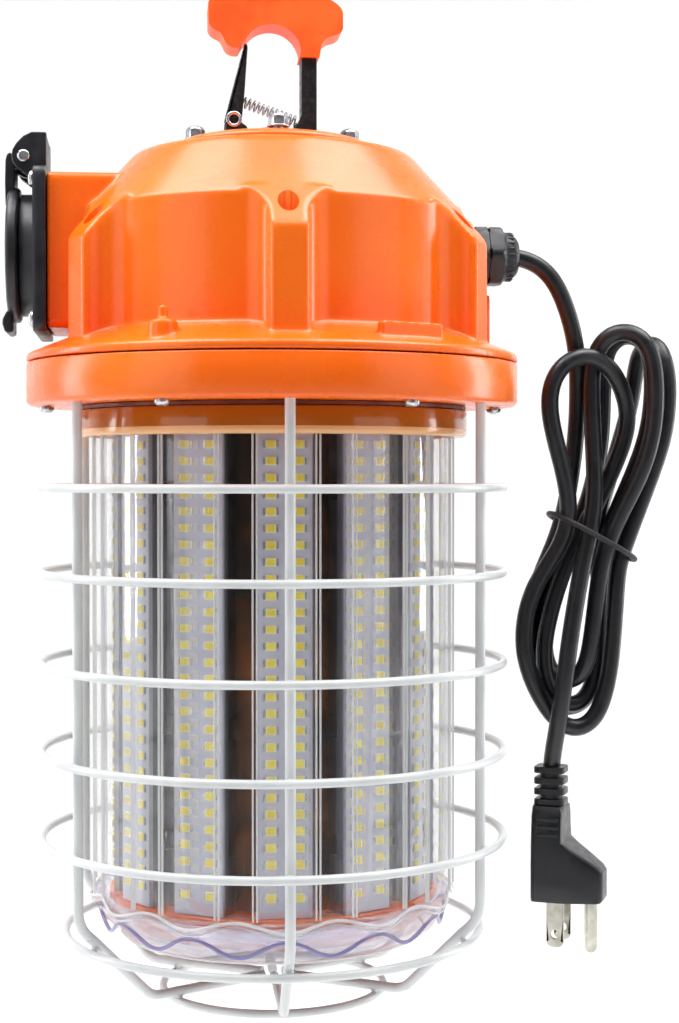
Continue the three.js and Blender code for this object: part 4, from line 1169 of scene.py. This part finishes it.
def around(name, bm, material, node=None, crisp=35, soft=0.0):
    """Twelve copies of one mesh round the axis. The first stands for the frame's node."""
    first = mesh_piece(f"{name}_01", bm, material, crisp=crisp)
    if soft:
        soften(first, soft, 2)
    for number in range(1, BAYS + 1):
        piece = first if number == 1 else first.copy()
        if number > 1:
            piece.name = f"{name}_{number:02d}"
            bpy.context.collection.objects.link(piece)
        piece.rotation_euler = (0, 0, math.radians(360 / BAYS * (number - 1)))
        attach(piece, "lamp")
        if node and number == 1:
            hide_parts(node)


bm = bmesh.new()
flat_box(bm, (-9.1, 9.1), (55.3, 56.9), (-306.7, -143.7))
around("led_board", bm, board_mask, "led_board_set", soft=0.15)
bm = bmesh.new()
for x, z in LED_SPOTS:
    flat_box(bm, (x - 1.75, x + 1.75), (56.8, 57.5), (z - 1.4, z + 1.4))
around("led_frames", bm, led_package)
bm = bmesh.new()
for x, z in LED_SPOTS:
    low, high = (x - 1.45, z - 1.15), (x + 1.45, z + 1.15)
    slab(bm, rounded_outline([low, (high[0], low[1]), high, (low[0], high[1])], 0.6), (-57.3, -57.62))
around("led_phosphor", bm, phosphor)
bm = bmesh.new()
for x, z in LED_SPOTS:
    for end in (x - 2.1, x + 2.1):
        flat_box(bm, (end - 0.45, end + 0.45), (56.8, 57.15), (z - 1.2, z + 1.2))
around("led_solder_pads", bm, solder)
print("LEDs:", BAYS * len(LED_SPOTS))

# %% [markdown]
# ## Channels and end plates
# A channel stands behind each board: a back face with two flanges folded inwards. Small windows
# in the flanges let the wiring through. Two turned plates hold the column at its ends, and the
# lower one has a short orange lip under every board. A dark brown tube stands inside the column, coloured as
# painted shade, so the gaps between the boards look shaded brown and nothing shows through from behind.

# %% Channels
bm = bmesh.new()
flat_box(bm, (-8.8, 8.8), (52.8, 55.25), (-307.6, -142.8))
for side in (-1, 1):
    x = sorted((side * 8.8, side * 7.4))
    top = -142.8
    for low, high in ((-168.5, -162), (-248.5, -241.5), (-288, -281)):
        flat_box(bm, x, (46.5, 53.2), (high, top))
        flat_box(bm, x, (51.2, 53.2), (low, high))
        top = low
    flat_box(bm, x, (46.5, 53.2), (-307.6, top))
around("led_channel", bm, aluminium, "led_core", soft=0.2)
bm = bmesh.new()
turned(bm, [(38.2, -143.2), (38.2, -140.6), (38.6, -140.4), (60.9, -140.4), (61.2, -140.7), (61.2, -143),
            (60.9, -143.4), (38.6, -143.4)])
belongs(mesh_piece("led_top_disc", bm, orange_coat), "lamp", "orange_paint", "led_top_plate")
bm = bmesh.new()
turned(bm, [(30.2, -309.7), (30.2, -307.3), (30.5, -307), (58.2, -307), (58.5, -307.3), (58.5, -309.7),
            (58.2, -310), (30.5, -310)])
belongs(mesh_piece("led_bottom_disc", bm, orange_coat), "lamp", "orange_paint", "led_bottom_plate")
bm = bmesh.new()
flat_box(bm, (-8.8, 8.8), (55.4, 58.3), (-309.6, -307.2))
around("led_board_foot", bm, orange_coat, soft=0.3)
bm = bmesh.new()
turned(bm, [(44.5, -307), (46, -307), (46, -143.4), (44.5, -143.4)], 96)
belongs(mesh_piece("led_inner_tube", bm, shade_brown_core), "lamp", "aluminium")
print("channels, discs, feet and inner tube")

# %% [markdown]
# ## White coated wire
# The guard is steel wire under a thick, glossy white powder coat, which flows a little before it
# sets: gentle waves about 9 mm long, hardly any grain.

# %% White coat
white_coat, shader = new_material("steel_wire_with_white_powder_coat", "#D6D9DA", 0.3)
shader.inputs["Coat Weight"].default_value = 0.3
where = ripple(white_coat, shader, [(9, 0.1), (1.2, 0.02)])
mottle(white_coat, shader, where, 25, linear("#CFD3D4"), linear("#DCDFE0"))
print("white coat ready")

# %% [markdown]
# ## The guard
# Six rods come straight down from the lugs, bend under the lens and meet at its middle. Five
# large hoops run round them outside, and two small hoops close the bottom. At each crossing the
# wires are spot welded and the coat runs into the corner, so a small bead joins them.

# %% Rods
ROD, HOOP_WIRE = 3.5, 3.0


def bent_wire(corners, steps=10):
    """A wire path in (radius, z), from corners that also say how far out each bend starts."""
    path = [Vector(corners[0][:2])]
    for before, here, after in zip(corners, corners[1:], corners[2:]):
        spot = Vector(here[:2])
        back = (Vector(before[:2]) - spot).normalized()
        on = (Vector(after[:2]) - spot).normalized()
        start, end = spot + back * here[2], spot + on * here[2]
        for i in range(steps + 1):
            t = i / steps
            path.append(start.lerp(spot, t).lerp(spot.lerp(end, t), t))
    return path + [Vector(corners[-1][:2])]


rod_path = bent_wire([(79.05, -119, 0), (79.05, -313, 6.6), (73.8, -316.9, 1), (50.6, -340, 3.6),
                      (4.4, -339.8, 0)])
for number in range(1, 7):
    turn = facing(60 * (number - 1))
    path = [turn @ Vector((0, -p[0], p[1])) for p in rod_path]
    rod = wire_piece(f"guard_upright_{number}", path, ROD, white_coat, sides=6)
    belongs(rod, "lamp", "white_coated_wire", f"guard_rod_{number}")
print("rods:", len(rod_path), "points each")

# %% Hoops
LARGE_HOOP = 82.6
HOOPS = [(LARGE_HOOP, z) for z in (-164.3, -194.4, -226.4, -257.8, -288.5)]
HOOPS += [(74.2, -321.95), (39.7, -343.35)]
for number, (radius, z) in enumerate(HOOPS, 1):
    circle = [(radius * math.sin(a), -radius * math.cos(a), z) for a in full_turn(144)]
    hoop = wire_piece(f"guard_hoop_{number}", circle, HOOP_WIRE, white_coat, closed=True, sides=5)
    belongs(hoop, "lamp", "white_coated_wire", f"guard_ring_{number}")
print("hoops:", len(HOOPS))

# %% Weld beads
LARGE_BEAD, SMALL_BEAD = Vector((2.1, 1.5, 1.5)), Vector((1.7, 1.4, 1.2))
welds = [((80.9, z), LARGE_BEAD) for radius, z in HOOPS if radius == LARGE_HOOP]
welds += [((72.6, -320.2), SMALL_BEAD), ((39.7, -341.5), SMALL_BEAD)]
bm = bmesh.new()
for (radius, z), size in welds:
    for degrees in LUGS:
        turn = facing(degrees)
        centre = turn @ Vector((0, -radius, z)) * MM
        place = Matrix.Translation(centre) @ turn @ Matrix.Diagonal((size * MM).to_4d())
        bmesh.ops.create_uvsphere(bm, u_segments=16, v_segments=8, radius=1, matrix=place)
belongs(mesh_piece("guard_weld_beads", bm, white_coat, crisp=180), "lamp", "white_coated_wire")
print("beads:", len(LUGS) * len(welds))

# %% [markdown]
# ## Black nylon
# The outlet, its lid, the cord gland and its nut are all moulded black nylon. Fresh mouldings are
# satin, with a faint cool sheen, because the mould was polished by hand and not textured.

# %% Black nylon
black_nylon, shader = new_material("moulded_black_nylon", "#1B1C21", 0.38)
where = ripple(black_nylon, shader, [(9, 0.06), (0.8, 0.012)])
mottle(black_nylon, shader, where, 10, linear("#17181C"), linear("#222329"))
mottle(black_nylon, shader, where, 5, 0.32, 0.46, "Roughness")
print("black nylon ready")

# %% [markdown]
# ## The outlet's frame and insert
# A square plate is screwed to the housing's side box. A round collar stands on it, and a hinge
# block carries two cheeks. The grounded socket sits inside the collar: its two blade slots and
# round earth hole are cut deep into the insert, so they stay dark at every angle.

# %% Frame plate, collar and hinge block
OUTLET_Z = -82.3


def along_x(bm, outline, levels):
    """An outline in (y, z) carried along X. A level is (x, inset)."""
    centre = sum((Vector(p) for p in outline), Vector((0, 0))) / len(outline)
    sections = []
    for x, inset in levels:
        outwards = [Vector(p) - centre for p in outline]
        sections.append([Vector((x, *(centre + out * (1 - inset / out.length)))) for out in outwards])
    loft(bm, sections)


bm = bmesh.new()
plate = rounded_outline([(-28, -110.9), (28, -110.9), (28, -54.2), (-28, -54.2)], 4, 6)
along_x(bm, plate, [(-79.4, 0.2), (-80, 0), (-83.2, 0), (-83.8, 0.6)])
frame_plate = mesh_piece("outlet_frame_plate", bm, black_nylon, crisp=50)
belongs(frame_plate, "lamp", "black_plastic", "outlet_frame")
bm = bmesh.new()
side_post(bm, [(-83.6, 22.1), (-84.2, 21.5), (-88.6, 21.4), (-89, 21), (-89, 18.2), (-88.6, 17.8),
               (-83.6, 17.8)], OUTLET_Z, count=96)
belongs(mesh_piece("outlet_frame_collar", bm, black_nylon, crisp=50), "lamp", "black_plastic")

bm = bmesh.new()
cheek = [(-79.6, -58), (-79.6, -41.1), (-84.7, -41.1), (-87.6, -42.6), (-89.8, -44.9), (-91.2, -47.2),
         (-91.6, -49.5), (-91.2, -51.6), (-89.8, -53.5), (-83.6, -58)]
slab(bm, cheek, (-15.3, -11.3))
slab(bm, cheek, (11.3, 15.3))
slab(bm, [(-79.6, -56), (-79.6, -41.6), (-81.9, -41.6), (-82.4, -43), (-82.4, -56)], (-11.5, 11.5))
belongs(soften(mesh_piece("outlet_hinge_block", bm, black_nylon), 0.5, 3), "lamp", "black_plastic")

screw_head = [(-83.5, 2.9), (-84.2, 2.9), (-84.9, 2.5), (-85.3, 1.7), (-85.4, 0.9), (-84.9, 0.8)]
for number, (y, z) in enumerate(((-23.5, -58.7), (23.5, -58.7), (-23.5, -106.4), (23.5, -106.4)), 1):
    bm = bmesh.new()
    side_post(bm, screw_head, z, y, count=32)
    belongs(mesh_piece(f"outlet_plate_screw_{number}", bm, zinc, crisp=40), "lamp", "zinc")
print("plate, collar, hinge block, four screws")

# %% Insert
bm = bmesh.new()
side_post(bm, [(-66, 15.9), (-79.4, 16.4), (-82.1, 16.4), (-82.5, 16)], OUTLET_Z, count=72)
insert = mesh_piece("outlet_socket_insert", bm, black_nylon, crisp=45)
bm = bmesh.new()
for y in (-6.35, 6.35):
    slot_view = [(y - 1.1, -83.3), (y + 1.1, -83.3), (y + 1.1, -75.3), (y - 1.1, -75.3)]
    loft(bm, [[Vector((x, side, z)) for side, z in slot_view] for x in (-84, -70)])
side_post(bm, [(-84, 2.8), (-70, 2.8)], -91.2, count=32)
cut_with(insert, bm, "socket_slots")
insert.data.shade_smooth()
insert.data.set_sharp_from_angle(angle=math.radians(45))
belongs(insert, "lamp", "black_plastic", "outlet_insert")
print("insert:", len(insert.data.polygons), "faces")

# %% [markdown]
# ## The lid
# A sprung round lid closes the outlet. Its crowned face is crossed by a broad satin band, an arm
# leads up to the knuckle on the steel pin, and a lip at the bottom is there for a thumb.

# %% Lid
bm = bmesh.new()
side_post(bm, [(-89.3, 22.9), (-89.8, 23.5), (-90.4, 23.7), (-92.2, 23.7), (-92.9, 23.4), (-93.3, 22.7),
               (-93.55, 21), (-93.8, 16), (-93.95, 9), (-94.05, 2)], OUTLET_Z, count=120)
belongs(mesh_piece("outlet_lid_disc", bm, black_nylon, crisp=50), "flap", "black_plastic", "outlet_flap")
bm = bmesh.new()
slab(bm, [(-90.9, -66), (-90.9, -49.6), (-91.4, -48), (-92.6, -47.2), (-93.6, -48), (-94.1, -50),
          (-94.3, -58), (-94.1, -66)], (-9, 9))
belongs(soften(mesh_piece("outlet_lid_arm", bm, black_nylon), 0.5, 3), "flap", "black_plastic")
LID_PIN = (-87.4, -49.5)
bm = bmesh.new()
for low, high in ((-9, -5.3), (5.3, 9)):
    deep_post(bm, LID_PIN, [(low, 3.8), (low + 0.4, 4.2), (high - 0.4, 4.2), (high, 3.8)], 40)
knuckle_root = [(-91.6, -52.6), (-91.6, -46.6), (-87.6, -46.1), (-87.6, -52.9)]
slab(bm, knuckle_root, (-8.8, -5.4))
slab(bm, knuckle_root, (5.4, 8.8))
belongs(mesh_piece("outlet_lid_knuckle", bm, black_nylon, crisp=40), "flap", "black_plastic")
bm = bmesh.new()
slab(bm, [(-91.6, -102.2), (-93.4, -102.2), (-94.2, -103.4), (-95.2, -105.4), (-95.3, -107),
          (-94.6, -109.4), (-93.4, -110.4), (-91.6, -109.8)], (-10, 10))
belongs(soften(mesh_piece("outlet_lid_lip", bm, black_nylon), 0.7, 3, angle=50), "flap", "black_plastic")
bm = bmesh.new()
slab(bm, [(-91, -60), (-93.4, -60), (-94.1, -66), (-94.35, -74), (-94.4, -82.3), (-94.35, -90),
          (-94.1, -98), (-93.4, -104), (-91, -104)], (-7.5, 7.5))
belongs(soften(mesh_piece("outlet_lid_band", bm, black_nylon), 0.4, 3), "flap", "black_plastic")
print("lid: disc, arm, knuckle, lip and band")

# %% Seal, pin and torsion spring
bm = bmesh.new()
side_post(bm, [(-89.5, 15.5), (-88.2, 15.5), (-87.3, 15.1), (-87, 14.2), (-87.3, 13), (-88.2, 12.5),
               (-89.5, 12.5)], OUTLET_Z, count=96)
belongs(mesh_piece("outlet_lid_seal", bm, seal_rubber, crisp=60), "flap", "seal_rubber", "flap_seal")
bm = bmesh.new()
pin_end = [(16.2, 1.2), (16.1, 1.9), (15.7, 2.2), (15.3, 2.2), (15.2, 1.8)]
deep_post(bm, LID_PIN, [(-y, r) for y, r in pin_end] + pin_end[::-1], 40)
belongs(mesh_piece("outlet_hinge_pin", bm, zinc, crisp=60), "lamp", "zinc", "flap_pin")
COIL_RADIUS, COIL_REACH, COIL_TURNS, PER_TURN = 2.9, 4.6, 9, 24
coil = []
for i in range(COIL_TURNS * PER_TURN + 1):
    a = 2 * math.pi * i / PER_TURN
    y = -COIL_REACH + 2 * COIL_REACH * i / (COIL_TURNS * PER_TURN)
    coil.append((LID_PIN[0] + COIL_RADIUS * math.cos(a), y, LID_PIN[1] + COIL_RADIUS * math.sin(a)))
spring = wire_piece("outlet_hinge_spring", coil, 0.9, zinc, sides=3)
belongs(spring, "lamp", "zinc", "flap_spring")
print("seal, pin and spring")

# %% [markdown]
# ## The cord gland
# The lead leaves through a nylon gland: a hexagon body screwed into the housing, a seal, and a
# domed nut that squeezes fingers onto the cord. The hexagons are lofted along the axis, and each
# end is drawn in a little, so their corners show the curved chamfer of a turned part.

# %% Gland
GLAND_Z = -80.6


def hex_ring(x, flats, radius):
    """A hexagon of this width across its flats, trimmed by a circle."""
    ring = []
    for a in full_turn(72):
        face = (a + math.pi / 6) % (math.pi / 3) - math.pi / 6
        r = min(flats / 2 / math.cos(face), radius)
        ring.append(Vector((x, r * math.sin(a), GLAND_Z + r * math.cos(a))))
    return ring


bm = bmesh.new()
body_levels = [(66, 15.6, 7.8), (72.2, 15.6, 7.8), (72.3, 20.6, 10.7), (72.8, 20.6, 11.6),
               (76.8, 20.6, 11.6), (77.3, 20.6, 10.7), (77.32, 15.6, 7.8), (83.4, 15.6, 7.8)]
loft(bm, [hex_ring(*level) for level in body_levels])
body = mesh_piece("gland_hexagon_body", bm, black_nylon, crisp=30)
belongs(body, "lamp", "black_plastic", "gland_body")
bm = bmesh.new()
nut_levels = [(77.6, 20.4, 10.6), (78.0, 20.4, 11.4), (81.8, 20.4, 11.4), (82.7, 20.4, 10.6),
              (83.3, 19.6, 9.4), (84.1, 19, 8.8), (85.4, 19, 8.55), (86.4, 18, 8.2), (87.3, 17, 7.7),
              (88.2, 16, 6.9), (88.8, 16, 6.0), (88.9, 16, 3.6), (87.5, 16, 3.4)]
loft(bm, [hex_ring(*level) for level in nut_levels])
nut = mesh_piece("gland_dome_nut", bm, black_nylon, crisp=30)
belongs(nut, "lamp", "black_plastic", "gland_nut")

RIB_X, RIB_RADIUS, RIB_SIZE = 85.4, 8.45, Vector((1.7, 0.45, 0.5))
bm = bmesh.new()
for a in full_turn(24):
    spot = Vector((RIB_X, RIB_RADIUS * math.sin(a), GLAND_Z + RIB_RADIUS * math.cos(a)))
    turn = Matrix.Rotation(-a, 4, "X")
    place = Matrix.Translation(spot * MM) @ turn @ Matrix.Diagonal((RIB_SIZE * MM).to_4d())
    bmesh.ops.create_uvsphere(bm, u_segments=12, v_segments=6, radius=1, matrix=place)
belongs(mesh_piece("gland_nut_ribs", bm, black_nylon, crisp=180), "lamp", "black_plastic")
print("gland body, nut and 24 ribs")

# %% [markdown]
# ## Parts inside
# Gaskets, the driver and its tray, the terminal block and the hook's nut are covered by the
# castings, but an exploded or cut view would show them. Their frame shapes are right already, so
# they stay and only take a finish: silicone rubber, grey ABS, galvanised sheet and zinc plate.

# %% Finishes for the inside
brown_rubber, shader = new_material("red_brown_silicone_rubber", "#6B2C12", 0.5)
where = ripple(brown_rubber, shader, [(1.2, 0.03)])
mottle(brown_rubber, shader, where, 9, linear("#5E2510"), linear("#78341A"))
grey_abs, shader = new_material("moulded_grey_abs", "#8D8F94", 0.5)
where = ripple(grey_abs, shader, [(1.0, 0.03)])
mottle(grey_abs, shader, where, 12, linear("#85878C"), linear("#95979C"))
tray_sheet, shader = new_material("galvanised_steel_sheet", "#A9ADB0", 0.4, 1.0)
where = ripple(tray_sheet, shader, [(6, 0.02)])
mottle(tray_sheet, shader, where, 9, linear("#969A9E"), linear("#BEC2C5"), ends=(0.45, 0.55))

nodes = frame["nodes"]
finishes = {
    "hook_bolt": zinc, "hook_nut": zinc,
    "housing_gasket": seal_rubber, "lens_gasket": brown_rubber, "gland_seal": seal_rubber,
    "driver_tray": tray_sheet, "led_driver": grey_abs, "terminal_block": grey_abs,
}
for name, finish in finishes.items():
    for slot in nodes[name].material_slots:
        slot.material = finish
print("finished in place:", ", ".join(finishes))

# %% [markdown]
# ## Floor, backdrop and light
# The light hangs in a plain pale room: one floor that curves up into a wall, a large soft panel
# at each side, three above, a weak one in front, and two that are turned to the wall. Big panels
# give the broad, soft highlights that show what is gloss and what is satin.

# %% Floor and backdrop
studio, shader = new_material("matt_white_studio_paint", "#F4F4F4", 0.9)
where = ripple(studio, shader, [(40, 0.05)])
mottle(studio, shader, where, 400, linear("#F2F2F2"), linear("#F6F6F6"))

FLOOR = CAD_BOX[0][2] - 0.12
bm = bmesh.new()
profile = [(-1.6, FLOOR), (0.7, FLOOR)]
profile += [(0.7 + 0.5 * math.sin(a), FLOOR + 0.5 - 0.5 * math.cos(a)) for a in
            [math.pi / 2 * i / 16 for i in range(1, 17)]]
profile.append((1.2, FLOOR + 3))
rows = [[bm.verts.new((x, y, z)) for x in (-3, 3)] for y, z in profile]
for near, far in zip(rows, rows[1:]):
    bm.faces.new((near[0], near[1], far[1], far[0]))
floor = mesh_piece("floor", bm, studio)
print("floor at", round(FLOOR, 3))

# %% Lights
def panel(name, place, size, watts, aim=(0, 0, -0.18), spread=180):
    """A rectangular area light that looks at a point, all in metres."""
    data = bpy.data.lights.new(name, "AREA")
    data.shape = "RECTANGLE"
    data.size, data.size_y = size
    data.energy = watts
    data.spread = math.radians(spread)
    light = bpy.data.objects.new(name, data)
    light.location = place
    direction = Vector(aim) - Vector(place)
    light.rotation_euler = direction.to_track_quat("-Z", "Y").to_euler()
    bpy.context.collection.objects.link(light)


panel("left_panel", (-1.1, -0.75, 0.05), (0.7, 1.3), 3.5)
panel("right_panel", (1.1, -0.7, 0.05), (0.7, 1.3), 3.0)
panel("top_panel", (0, -0.35, 1.0), (1.1, 0.9), 9)
panel("cap_left", (-0.42, -0.02, 0.66), (0.7, 0.6), 2.6, aim=(0, 0, -0.08), spread=95)
panel("cap_right", (0.42, -0.02, 0.66), (0.7, 0.6), 2.6, aim=(0, 0, -0.08), spread=95)
panel("front_panel", (0.1, -1.7, 0.25), (0.9, 0.9), 0.4)
panel("backdrop_left", (-1.3, 0.35, -0.1), (0.5, 1.4), 14, aim=(0, 1.2, -0.1))
panel("backdrop_right", (1.3, 0.35, -0.1), (0.5, 1.4), 14, aim=(0, 1.2, -0.1))
world = bpy.data.worlds.new("studio")
bpy.context.scene.world = world
world.use_nodes = True
world.node_tree.nodes["Background"].inputs["Color"].default_value = linear("#FFFFFF")
world.node_tree.nodes["Background"].inputs["Strength"].default_value = 0.12
bpy.context.scene.view_settings.view_transform = "Standard"
print("eight panels and a white room")

# %% [markdown]
# ## Finish
# The view layer is updated once more at the end.

# %% Finish
bpy.context.view_layer.update()
